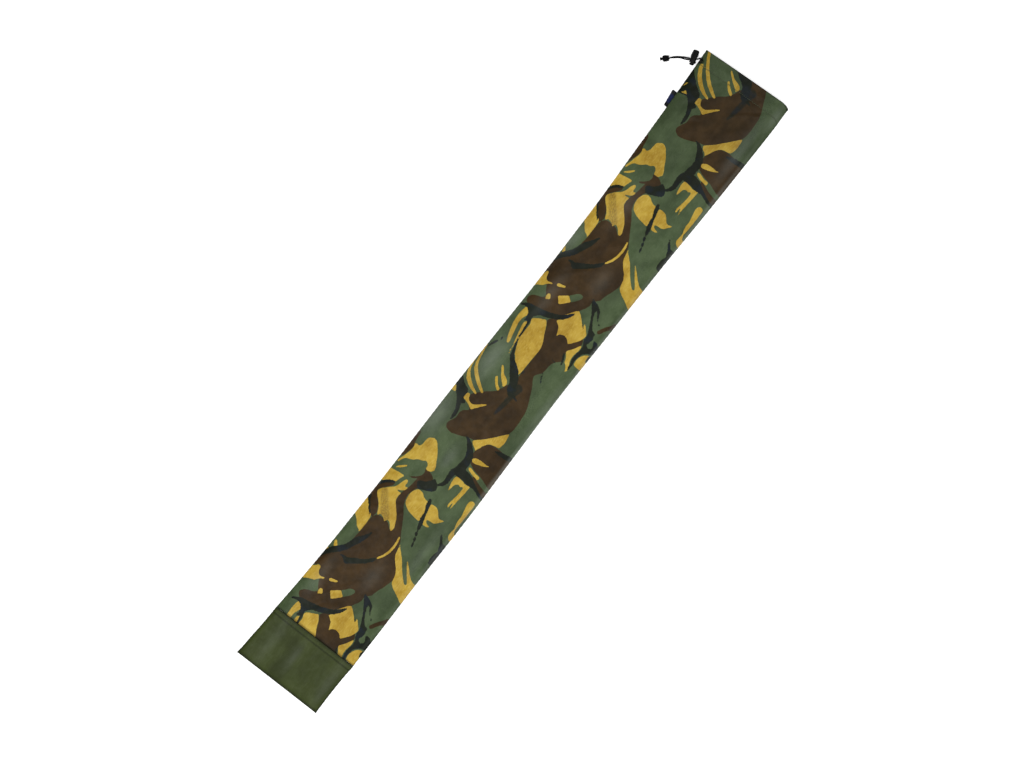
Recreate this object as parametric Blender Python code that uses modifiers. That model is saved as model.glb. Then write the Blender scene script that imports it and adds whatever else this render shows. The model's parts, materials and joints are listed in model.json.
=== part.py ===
"""Drawcord storage sleeve: a long flat two-layer bag of printed coated cloth with
a plain reinforced base, a drawcord in a turned hem at its mouth, and a sprung
cord lock on the cord's two ends.

Frame: metres, +Z up. The sleeve lies flat on z = 0 with its length along X, the
closed base at -X and the open mouth at +X. The origin is at the middle of the
underside. Run with: blender --background --python part.py
"""

import math

import bmesh
import bpy
from mathutils import Matrix, Vector

# ---------------------------------------------------------------- dimensions
MM = 0.001
BASE_X = -654.0 * MM          # closed lower end
BASE_SEAM_X = -552.0 * MM     # where the plain base meets the printed cloth
MOUTH_X = 649.0 * MM          # mouth edge on the centre line
MOUTH_SLANT = -0.055          # the mouth edge runs a little past square, per metre of Y
SLANT_FROM_X = 560.0 * MM
HEM_STITCH_X = 620.5 * MM     # row that closes the drawcord's channel
TOPSTITCH_X = -557.5 * MM     # row beside the base seam
CLOTH = 1.2 * MM              # one layer, coating and seam build-up included
GAP = 0.3 * MM
SEAM_Z = CLOTH + GAP          # the front layer's edges start here
ARCH = 2.7                    # exponent of the section's rounded flanks

# x, left edge y, right edge y, height of the crown, all in mm
STATIONS = (
    (-654.0, 86.0, -83.1, 3.0),
    (-645.0, 85.2, -83.0, 6.2),
    (-620.0, 83.9, -82.7, 9.0),
    (-586.0, 81.8, -83.1, 10.0),
    (-552.0, 80.5, -84.4, 11.0),
    (-484.0, 77.1, -84.4, 17.0),
    (-382.0, 74.1, -83.6, 22.5),
    (-246.0, 72.8, -84.4, 26.0),
    (-110.0, 73.3, -82.3, 27.0),
    (26.0, 72.0, -80.2, 28.0),
    (162.0, 70.3, -81.9, 28.0),
    (298.0, 71.1, -83.1, 26.0),
    (434.0, 75.4, -86.5, 21.5),
    (522.0, 78.4, -87.8, 18.0),
    (604.0, 82.1, -88.6, 16.0),
    (649.0, 84.2, -87.6, 16.0),
)

CORD_D = 2.6 * MM
CHANNEL = 3.2 * MM            # clear height for the cord between the hem's layers
TURNING = 0.8 * MM            # the hem's turned-in layer
HEM_EDGE = 1.4 * MM           # width of the hem's fold and of its stitched edge

# drawcord exit through the unstitched stretch of the left seam
EXIT = Vector((626.9, 82.7, 4.5)) * MM
# route of the two free strands, x and y in mm, from the exit to the knot
TAIL_ROUTE = (
    (626.7, 83.9), (622.4, 87.0), (617.9, 92.8), (612.4, 101.3),
    (607.2, 111.5), (602.2, 118.3), (597.0, 123.9), (594.6, 125.9),
)
KNOT_CENTRE = Vector((590.3, 130.2, 5.0)) * MM
KNOT_RADII = (5.5 * MM, 4.6 * MM, 4.8 * MM)
STRAND_APART = 1.45 * MM      # half the distance between the strands' centres

LOCK_CENTRE = Vector((617.9, 92.6, 6.5)) * MM    # where the cord crosses the lock
LOCK_AXIS = Vector((-0.960, -0.280, 0.0)).normalized()   # towards the button
SLIDE_AXIS = Vector((-0.540, 0.841, 0.0)).normalized()   # along the cord, outwards
BARREL_BORE_R = 4.45 * MM
PLUNGER_R = 4.30 * MM
PLUNGER_TRAVEL = 4.0 * MM
SPRING_TURNS = 5

COLOURS = {
    "camo": (0.075, 0.115, 0.055, 1.0, 0.55, 0.0),
    "olive": (0.045, 0.060, 0.030, 1.0, 0.60, 0.0),
    "black_cord": (0.006, 0.006, 0.007, 1.0, 0.70, 0.0),
    "black_plastic": (0.008, 0.008, 0.009, 1.0, 0.35, 0.0),
    "thread": (0.110, 0.120, 0.070, 1.0, 0.80, 0.0),
    "label": (0.006, 0.010, 0.040, 1.0, 0.75, 0.0),
    "steel": (0.500, 0.500, 0.500, 1.0, 0.30, 1.0),
}

for old in list(bpy.data.objects):
    bpy.data.objects.remove(old, do_unlink=True)

PARTS = bpy.data.collections.new("drawcord_sleeve")
CUTTERS = bpy.data.collections.new("cutters")
bpy.context.scene.collection.children.link(PARTS)
bpy.context.scene.collection.children.link(CUTTERS)
CUTTERS.hide_render = True


# ---------------------------------------------------------------- helpers
def material(name, kind):
    r, g, b, a, rough, metal = COLOURS[kind]
    mat = bpy.data.materials.new(name)
    mat.use_nodes = True
    node = mat.node_tree.nodes["Principled BSDF"]
    node.inputs["Base Color"].default_value = (r, g, b, a)
    node.inputs["Roughness"].default_value = rough
    node.inputs["Metallic"].default_value = metal
    return mat


def add_object(name, data, kind, collection=None):
    obj = bpy.data.objects.new(name, data)
    (collection or PARTS).objects.link(obj)
    if kind:
        data.materials.append(material(name + "_material", kind))
    return obj


def as_cutter(obj):
    obj.hide_render = True
    obj.display_type = "WIRE"
    return obj


def boolean(obj, other, operation="DIFFERENCE"):
    mod = obj.modifiers.new(operation.lower() + "_" + other.name, "BOOLEAN")
    mod.operation = operation
    mod.solver = "EXACT"
    mod.object = other


def hermite(table, x):
    """Smooth value of each column of the station table at x, with no overshoot at its ends."""
    rows = [[value * MM for value in row] for row in table]
    x = min(max(x, rows[0][0]), rows[-1][0])
    i = max(k for k in range(len(rows) - 1) if rows[k][0] <= x + 1e-12)
    x0, x1 = rows[i][0], rows[i + 1][0]
    t = (x - x0) / (x1 - x0)
    out = []
    for c in range(1, len(rows[0])):
        def slope(k):
            if k <= 0 or k >= len(rows) - 1:
                return 0.0
            a = (rows[k][c] - rows[k - 1][c]) / (rows[k][0] - rows[k - 1][0])
            b = (rows[k + 1][c] - rows[k][c]) / (rows[k + 1][0] - rows[k][0])
            return 0.0 if a * b <= 0 else 2 * a * b / (a + b)
        h = x1 - x0
        y0, y1 = rows[i][c], rows[i + 1][c]
        out.append(
            (2 * t**3 - 3 * t**2 + 1) * y0 + (t**3 - 2 * t**2 + t) * h * slope(i)
            + (-2 * t**3 + 3 * t**2) * y1 + (t**3 - t**2) * h * slope(i + 1)
        )
    return out


def skewed(x, y):
    """x of a point on a crosswise line, turned a little where the mouth is near."""
    weight = min(max((x - SLANT_FROM_X) / (MOUTH_X - SLANT_FROM_X), 0.0), 1.0)
    return x + weight * MOUTH_SLANT * y


def arch_point(x, angle, inset=0.0):
    """A point on the front layer's arched section, inset from its outer face.
    angle 0 is the left seam and 180 degrees the right one."""
    left, right, crown = hermite(STATIONS, x)
    middle, half = (left + right) / 2, (left - right) / 2
    c, s = math.cos(angle), math.sin(angle)
    y = middle + (half - inset) * math.copysign(abs(c) ** (2 / ARCH), c)
    z = SEAM_Z + (crown - SEAM_Z - inset) * abs(s) ** (2 / ARCH)
    return Vector((skewed(x, y), y, z))


def spaced(start, end, count):
    return [start + (end - start) * i / (count - 1) for i in range(count)]


def sheet(name, rows, kind, thickness, inward=True):
    """An open grid of points given a thickness."""
    bm = bmesh.new()
    grid = [[bm.verts.new(p) for p in row] for row in rows]
    for a, b in zip(grid, grid[1:]):
        for j in range(len(a) - 1):
            bm.faces.new((a[j], a[j + 1], b[j + 1], b[j]))
    mesh = bpy.data.meshes.new(name)
    bm.to_mesh(mesh)
    bm.free()
    obj = add_object(name, mesh, kind)
    mesh.shade_smooth()
    mesh.set_sharp_from_angle(angle=math.radians(40))
    mod = obj.modifiers.new("thickness", "SOLIDIFY")
    mod.thickness = thickness
    mod.offset = -1.0 if inward else 1.0
    mod.use_even_offset = True
    return obj


def slab(name, upper, lower, kind):
    """A closed loft between two grids of points of the same size."""
    bm = bmesh.new()
    top = [[bm.verts.new(p) for p in row] for row in upper]
    low = [[bm.verts.new(p) for p in row] for row in lower]
    n, m = len(top), len(top[0])
    for i in range(n - 1):
        for j in range(m - 1):
            bm.faces.new((top[i][j], top[i + 1][j], top[i + 1][j + 1], top[i][j + 1]))
            bm.faces.new((low[i][j], low[i][j + 1], low[i + 1][j + 1], low[i + 1][j]))
    for i in range(n - 1):
        for j in (0, m - 1):
            bm.faces.new((top[i][j], top[i + 1][j], low[i + 1][j], low[i][j]))
    for j in range(m - 1):
        for i in (0, n - 1):
            bm.faces.new((top[i][j], top[i][j + 1], low[i][j + 1], low[i][j]))
    bmesh.ops.recalc_face_normals(bm, faces=bm.faces)
    mesh = bpy.data.meshes.new(name)
    bm.to_mesh(mesh)
    bm.free()
    mesh.shade_smooth()
    mesh.set_sharp_from_angle(angle=math.radians(40))
    return add_object(name, mesh, kind)


def tube(name, points, diameter, kind, resolution=2):
    curve = bpy.data.curves.new(name, "CURVE")
    curve.dimensions = "3D"
    curve.bevel_depth = diameter / 2
    curve.bevel_resolution = resolution
    curve.use_fill_caps = True
    spline = curve.splines.new("POLY")
    spline.points.add(len(points) - 1)
    for point, p in zip(spline.points, points):
        point.co = (*p, 1.0)
    return add_object(name, curve, kind)


def smooth_path(knots, step):
    """Points every step along a Catmull-Rom curve through the given ones."""
    knots = [Vector(k) for k in knots]
    ends = [2 * knots[0] - knots[1], *knots, 2 * knots[-1] - knots[-2]]
    fine = []
    for a, b, c, d in zip(ends, ends[1:], ends[2:], ends[3:]):
        for i in range(24):
            t = i / 24
            fine.append(0.5 * (2 * b + (c - a) * t + (2 * a - 5 * b + 4 * c - d) * t**2
                               + (3 * b - a - 3 * c + d) * t**3))
    fine.append(knots[-1])
    total = sum((q - p).length for p, q in zip(fine, fine[1:]))
    count = max(2, round(total / step))
    out, run, target, k = [fine[0]], 0.0, total / count, 0
    for p, q in zip(fine, fine[1:]):
        piece = (q - p).length
        while run + piece >= target - 1e-9 and len(out) < count:
            out.append(p.lerp(q, (target - run) / piece))
            target += total / count
        run += piece
    return [*out, fine[-1]]


def turned(name, profile, kind, steps=24, collection=None):
    """A profile in the XZ plane spun round Z."""
    mesh = bpy.data.meshes.new(name)
    mesh.from_pydata([(r, 0.0, z) for r, z in profile],
                     [(i, i + 1) for i in range(len(profile) - 1)], [])
    obj = add_object(name, mesh, kind, collection)
    mod = obj.modifiers.new("spin", "SCREW")
    mod.steps = mod.render_steps = steps
    mod.use_merge_vertices = True
    mod.merge_threshold = 0.00002
    mod.use_smooth_shade = True
    return obj


def aligned(axis, origin, side=Vector((0.0, 0.0, 1.0))):
    """A matrix whose local Z is the axis and whose local X is nearest to side."""
    z = axis.normalized()
    x = (side - side.dot(z) * z).normalized()
    y = z.cross(x)
    rot = Matrix((x, y, z)).transposed().to_4x4()
    return Matrix.Translation(origin) @ rot


def bar_cutter(name, axis, origin, width, height, length):
    """A stadium-ended bar: width is level, height is upright, length is along the axis."""
    bm = bmesh.new()
    bmesh.ops.create_cube(bm, size=1.0)
    bmesh.ops.scale(bm, vec=(height, width, length), verts=bm.verts)
    edges = [e for e in bm.edges
             if abs(e.verts[0].co.z - e.verts[1].co.z) > length / 2]
    bmesh.ops.bevel(bm, geom=edges, offset=min(width, height) * 0.42, segments=3,
                    profile=0.5, affect="EDGES", clamp_overlap=True)
    mesh = bpy.data.meshes.new(name)
    bm.to_mesh(mesh)
    bm.free()
    obj = as_cutter(add_object(name, mesh, None, CUTTERS))
    obj.matrix_world = aligned(axis, origin)
    return obj


# ---------------------------------------------------------------- cloth layers
ANGLES = [math.pi * i / 20 for i in range(21)]


def front_layer(name, xs, kind):
    return slab(name, [[arch_point(x, a) for a in ANGLES] for x in xs],
                [[arch_point(x, a, CLOTH) for a in ANGLES] for x in xs], kind)


def back_layer(name, xs, kind):
    rows = []
    for x in xs:
        left, right, _ = hermite(STATIONS, x)
        rows.append([Vector((skewed(x, y), y, 0.0)) for y in spaced(left, right, 3)])
    return sheet(name, rows, kind, CLOTH, inward=False)


base_xs = [x * MM for x in (-654.0, -650.0, -645.0, -634.0, -620.0, -586.0)] + [
    BASE_SEAM_X - GAP / 2]
camo_xs = [BASE_SEAM_X + GAP / 2, *(x * MM for x in (
    -520.0, -484.0, -433.0, -382.0, -314.0, -246.0, -178.0, -110.0, -42.0, 26.0,
    94.0, 162.0, 230.0, 298.0, 366.0, 434.0, 478.0, 522.0, 563.0, 604.0)), MOUTH_X]

base_front = front_layer("base_front_panel", base_xs, "olive")
base_back = back_layer("base_back_panel", base_xs, "olive")
camo_front = front_layer("camo_front_panel", camo_xs, "camo")
camo_back = back_layer("camo_back_panel", camo_xs, "camo")

# the left seam is left unstitched where the drawcord comes out
boolean(camo_front, bar_cutter("exit_cutter", Vector((0.0, 1.0, 0.0)),
                               Vector((626.5, 84.0, 3.4)) * MM, 9.0 * MM, 9.6 * MM, 26.0 * MM))

# ---------------------------------------------------------------- turned hem
# Each turning is the layer's own edge folded in and stitched down, with the
# channel for the drawcord between it and the layer outside it.
hem_xs = [HEM_STITCH_X - HEM_EDGE / 2, HEM_STITCH_X + HEM_EDGE / 2,
          HEM_STITCH_X + HEM_EDGE / 2 + 0.1 * MM, MOUTH_X - 0.3 * MM - HEM_EDGE - 0.1 * MM,
          MOUTH_X - 0.3 * MM - HEM_EDGE, MOUTH_X - 0.3 * MM]
near = (GAP, GAP, CHANNEL + GAP, CHANNEL + GAP, GAP, GAP)
far = CHANNEL + GAP + TURNING
hem_angles = spaced(math.radians(32.0), math.radians(148.0), 13)
slab("front_hem_turning",
     [[arch_point(x, a, CLOTH + d) for a in hem_angles] for x, d in zip(hem_xs, near)],
     [[arch_point(x, a, CLOTH + far) for a in hem_angles] for x in hem_xs], "camo")
hem_ys = spaced(69.0 * MM, -72.0 * MM, 4)
slab("back_hem_turning",
     [[Vector((skewed(x, y), y, CLOTH + far)) for y in hem_ys] for x in hem_xs],
     [[Vector((skewed(x, y), y, CLOTH + d)) for y in hem_ys] for x, d in zip(hem_xs, near)],
     "camo")


# ---------------------------------------------------------------- stitch rows
def thread_over(name, x, first, last, count, kind="thread"):
    """A thread lying on the front layer's outer face along one crosswise line."""
    lift = 0.25 * MM + GAP
    points = [arch_point(x, math.radians(a), -lift) for a in spaced(first, last, count)]
    return tube(name, points, 0.5 * MM, kind, 1)


def thread_flat(name, x, z, first, last):
    points = [Vector((skewed(x, y), y, z)) for y in spaced(first * MM, last * MM, 4)]
    return tube(name, points, 0.5 * MM, "thread", 1)


thread_over("front_hem_stitching", HEM_STITCH_X, 25.0, 155.0, 25)
thread_flat("back_hem_stitching", HEM_STITCH_X, CLOTH + far + 0.25 * MM + GAP, 66.0, -69.0)
thread_over("front_base_topstitching", TOPSTITCH_X, 20.0, 160.0, 25)
thread_flat("back_base_topstitching", TOPSTITCH_X, SEAM_Z + 0.25 * MM, 72.0, -75.0)


# ------------------------------------------- overlocked seam allowances, inside
def side_allowance(name, left_side):
    xs = [x * MM for x in (-636.0, -610.0, -580.0, -552.0, -484.0, -382.0, -246.0, -110.0,
                           26.0, 162.0, 298.0, 434.0, 522.0, 580.0, 612.0)]
    upper, lower = [], []
    for x in xs:
        left, right, _ = hermite(STATIONS, x)
        edge = left - CLOTH - 2.2 * MM if left_side else right + CLOTH + 2.2 * MM
        inner = edge - 4.6 * MM if left_side else edge + 4.6 * MM
        ys = (edge, inner)
        upper.append([Vector((skewed(x, y), y, SEAM_Z + 1.0 * MM)) for y in ys])
        lower.append([Vector((skewed(x, y), y, SEAM_Z)) for y in ys])
    return slab(name, upper, lower, "thread")


side_allowance("left_seam_overlock", True)
side_allowance("right_seam_overlock", False)
ys = spaced(66.0 * MM, -64.0 * MM, 3)
slab("bottom_seam_overlock",
     [[Vector((x, y, SEAM_Z + 1.0 * MM)) for y in ys] for x in (-645.5 * MM, -638.5 * MM)],
     [[Vector((x, y, SEAM_Z)) for y in ys] for x in (-645.5 * MM, -638.5 * MM)], "thread")

# ---------------------------------------------------------------- woven label
# a folded loop caught in the left seam, deeper at its mouth end
label_xs = spaced(526.0 * MM, 556.5 * MM, 4)
label_upper, label_lower = [], []
for i, x in enumerate(label_xs):
    edge = hermite(STATIONS, x)[0] + GAP
    outer = (84.4 + (88.6 - 84.4) * i / 3) * MM
    label_upper.append([Vector((x, y, 2.0 * MM)) for y in (edge, outer)])
    label_lower.append([Vector((x, y, 0.8 * MM)) for y in (edge, outer)])
slab("woven_label", label_upper, label_lower, "label")

# ---------------------------------------------------------------- drawcord
# The held loop: from the exit over the front channel, round the right seam,
# and back through the rear channel to the exit.
LOOP_INSET = CLOTH + GAP + CHANNEL / 2
LOOP_X = 635.0 * MM
back_z = CLOTH + GAP + CHANNEL / 2
upper_exit = EXIT + Vector((0.0, 0.0, STRAND_APART))
lower_exit = EXIT - Vector((0.0, 0.0, STRAND_APART))
route = [upper_exit, arch_point(629.5 * MM, math.radians(13.0), LOOP_INSET)]
route += [arch_point(LOOP_X, math.radians(a), LOOP_INSET)
          for a in (24.0, 34.0, 48.0, 62.0, 76.0, 90.0, 104.0, 118.0, 132.0, 146.0, 156.0, 164.0)]
route += [Vector((skewed(LOOP_X, y * MM), y * MM, z)) for y, z in (
    (-83.3, 5.6 * MM), (-80.5, 3.6 * MM), (-74.0, back_z), (-50.0, back_z), (-20.0, back_z),
    (20.0, back_z), (50.0, back_z), (66.0, back_z))]
route += [Vector((629.0 * MM, 77.5 * MM, back_z)), lower_exit]
tube("drawcord_loop", smooth_path(route, 5.5 * MM), CORD_D, "black_cord", 2)


def strand(name, side):
    """One free end of the cord, from the exit through the lock to the knot."""
    points = []
    for x, y in TAIL_ROUTE:
        along = (Vector((x, y)) * MM - Vector((626.7, 83.9)) * MM).length
        rise = math.sin(min(along / (5.5 * MM), 1.0) * math.pi / 2)
        fall = max((along - 16.0 * MM) / (38.0 * MM), 0.0)
        z = EXIT.z + (LOCK_CENTRE.z - EXIT.z) * rise - (LOCK_CENTRE.z - KNOT_CENTRE.z) * min(fall, 1.0)
        points.append(Vector((x * MM, y * MM, z + side * STRAND_APART)))
    return tube(name, smooth_path(points, 3.0 * MM), CORD_D, "black_cord", 2)


strand("drawcord_upper_strand", 1)
strand("drawcord_lower_strand", -1)

# overhand knot on both strands together, with two short cut ends
bm = bmesh.new()
bmesh.ops.create_uvsphere(bm, u_segments=16, v_segments=10, radius=1.0)
bmesh.ops.scale(bm, vec=KNOT_RADII, verts=bm.verts)
mesh = bpy.data.meshes.new("drawcord_knot")
bm.to_mesh(mesh)
bm.free()
mesh.shade_smooth()
knot = add_object("drawcord_knot", mesh, "black_cord")
knot.location = KNOT_CENTRE
knot.rotation_euler = (0.0, 0.0, math.radians(138.0))
for number, (dx, dy, dz) in enumerate(((-6.9, 5.6, -1.6), (-5.2, 7.4, 0.4))):
    bm = bmesh.new()
    bmesh.ops.create_cone(bm, cap_ends=True, segments=8, radius1=CORD_D / 2,
                          radius2=CORD_D / 2, depth=9.0 * MM)
    mesh = bpy.data.meshes.new(f"knot_end_{number}")
    bm.to_mesh(mesh)
    bm.free()
    end = as_cutter(add_object(f"knot_end_{number}", mesh, None, CUTTERS))
    direction = Vector((dx, dy, dz))
    end.matrix_world = aligned(direction, KNOT_CENTRE + direction.normalized() * 5.2 * MM)
    boolean(knot, end, "UNION")

# ---------------------------------------------------------------- cord lock
# Local Z runs along the barrel towards the button, with 0 at the cord.
barrel = turned("cord_lock_barrel", [(r * MM, z * MM) for r, z in (
    (0.0, -14.4), (4.45, -14.4), (4.45, 6.6), (5.6, 6.6), (5.95, 6.2), (6.2, 4.0), (6.35, 0.0),
    (6.3, -4.0), (5.9, -8.5), (5.3, -12.0), (4.6, -14.8), (3.4, -16.0), (1.8, -16.4),
    (0.0, -16.4))], "black_plastic")
barrel.matrix_world = aligned(LOCK_AXIS, LOCK_CENTRE)
boolean(barrel, bar_cutter("barrel_cord_hole", SLIDE_AXIS, LOCK_CENTRE,
                           5.2 * MM, 6.2 * MM, 30.0 * MM))

plunger = turned("cord_lock_plunger", [(r * MM, z * MM) for r, z in (
    (0.0, 11.1), (1.6, 11.0), (2.9, 10.4), (3.8, 9.3), (4.3, 7.8), (4.3, -6.6),
    (4.0, -7.0), (0.0, -7.0))], "black_plastic")
plunger.matrix_world = aligned(LOCK_AXIS, LOCK_CENTRE)
boolean(plunger, bar_cutter("plunger_cord_slot", SLIDE_AXIS,
                            LOCK_CENTRE + LOCK_AXIS * (PLUNGER_TRAVEL / 2),
                            5.6 * MM + PLUNGER_TRAVEL, 6.2 * MM, 30.0 * MM))

spring_points = []
SPRING_LOW, SPRING_HIGH, SPRING_R, WIRE = -13.7 * MM, -7.7 * MM, 2.9 * MM, 0.55 * MM
turn_steps = 12
for i in range(SPRING_TURNS * turn_steps + 1):
    a = 2 * math.pi * i / turn_steps
    t = i / (SPRING_TURNS * turn_steps)
    # the end coils lie close together, as on a ground spring
    lift = t + 0.055 * math.sin(2 * math.pi * t) * -1.0
    spring_points.append(Vector((SPRING_R * math.cos(a), SPRING_R * math.sin(a),
                                 SPRING_LOW + (SPRING_HIGH - SPRING_LOW) * lift)))
spring = tube("cord_lock_spring", spring_points, WIRE, "steel", 1)
spring.matrix_world = aligned(LOCK_AXIS, LOCK_CENTRE)
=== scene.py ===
"""Looks of the drawcord sleeve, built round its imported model: a long flat bag of
coated camouflage cloth with a plain base, a drawcord in its mouth hem and a
sprung cord lock. Metres, +Z up, the sleeve along X with its mouth at +X.
"""

import json
import math

import bpy
import numpy as np
from mathutils import Matrix, Vector

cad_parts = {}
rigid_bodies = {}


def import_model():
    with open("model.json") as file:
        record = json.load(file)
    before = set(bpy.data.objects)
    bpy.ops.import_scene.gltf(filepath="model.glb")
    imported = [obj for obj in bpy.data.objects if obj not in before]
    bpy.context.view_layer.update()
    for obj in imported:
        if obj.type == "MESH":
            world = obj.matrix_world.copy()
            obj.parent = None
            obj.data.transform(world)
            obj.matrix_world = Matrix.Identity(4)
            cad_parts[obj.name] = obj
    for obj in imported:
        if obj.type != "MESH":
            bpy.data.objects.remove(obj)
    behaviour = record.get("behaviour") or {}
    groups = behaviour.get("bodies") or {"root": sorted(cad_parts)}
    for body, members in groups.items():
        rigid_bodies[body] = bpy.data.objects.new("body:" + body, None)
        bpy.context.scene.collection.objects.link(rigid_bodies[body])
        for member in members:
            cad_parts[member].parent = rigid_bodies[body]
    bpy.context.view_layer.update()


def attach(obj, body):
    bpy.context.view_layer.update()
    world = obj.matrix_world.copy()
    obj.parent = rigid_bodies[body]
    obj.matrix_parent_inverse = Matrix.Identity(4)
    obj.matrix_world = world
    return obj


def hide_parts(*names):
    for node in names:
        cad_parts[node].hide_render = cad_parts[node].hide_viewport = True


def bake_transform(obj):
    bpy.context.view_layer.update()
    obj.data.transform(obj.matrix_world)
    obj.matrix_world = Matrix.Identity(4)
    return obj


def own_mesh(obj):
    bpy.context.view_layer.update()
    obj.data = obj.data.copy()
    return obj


for old in list(bpy.data.objects):
    bpy.data.objects.remove(old, do_unlink=True)

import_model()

# ------------------------------------------------------------ the part's sizes
MM = 0.001
BASE_X, BASE_SEAM_X, MOUTH_X = -654.0 * MM, -552.0 * MM, 649.0 * MM
MOUTH_SLANT, SLANT_FROM_X = -0.055, 560.0 * MM
HEM_STITCH_X, TOPSTITCH_X = 620.5 * MM, -557.5 * MM
CLOTH, GAP, SEAM_Z, ARCH = 1.2 * MM, 0.3 * MM, 1.5 * MM, 2.7
# x, left edge y, right edge y, height of the crown, in mm
STATIONS = np.array((
    (-654.0, 86.0, -83.1, 3.0), (-645.0, 85.2, -83.0, 6.2), (-620.0, 83.9, -82.7, 9.0),
    (-586.0, 81.8, -83.1, 10.0), (-552.0, 80.5, -84.4, 11.0), (-484.0, 77.1, -84.4, 17.0),
    (-382.0, 74.1, -83.6, 22.5), (-246.0, 72.8, -84.4, 26.0), (-110.0, 73.3, -82.3, 27.0),
    (26.0, 72.0, -80.2, 28.0), (162.0, 70.3, -81.9, 28.0), (298.0, 71.1, -83.1, 26.0),
    (434.0, 75.4, -86.5, 21.5), (522.0, 78.4, -87.8, 18.0), (604.0, 82.1, -88.6, 16.0),
    (649.0, 84.2, -87.6, 16.0),
)) * MM
CORD_D, CHANNEL = 2.6 * MM, 3.2 * MM
EXIT = np.array((626.9, 82.7, 4.5)) * MM
TAIL_ROUTE = (
    (626.7, 83.9), (622.4, 87.0), (617.9, 92.8), (612.4, 101.3),
    (607.2, 111.5), (602.2, 118.3), (597.0, 123.9), (594.6, 125.9),
)
KNOT_CENTRE = np.array((590.3, 130.2, 5.0)) * MM
STRAND_APART = 1.45 * MM
LOCK_CENTRE = np.array((617.9, 92.6, 6.5)) * MM
LOCK_AXIS = np.array((-0.960, -0.280, 0.0))
LOCK_AXIS = LOCK_AXIS / np.linalg.norm(LOCK_AXIS)
SLIDE_AXIS = np.array((-0.540, 0.841, 0.0))
SLIDE_AXIS = SLIDE_AXIS / np.linalg.norm(SLIDE_AXIS)
SKIN = 0.45 * MM              # the cloth's own thickness
UNIT = 1.7 * MM               # the print is drawn in steps of this size


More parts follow.
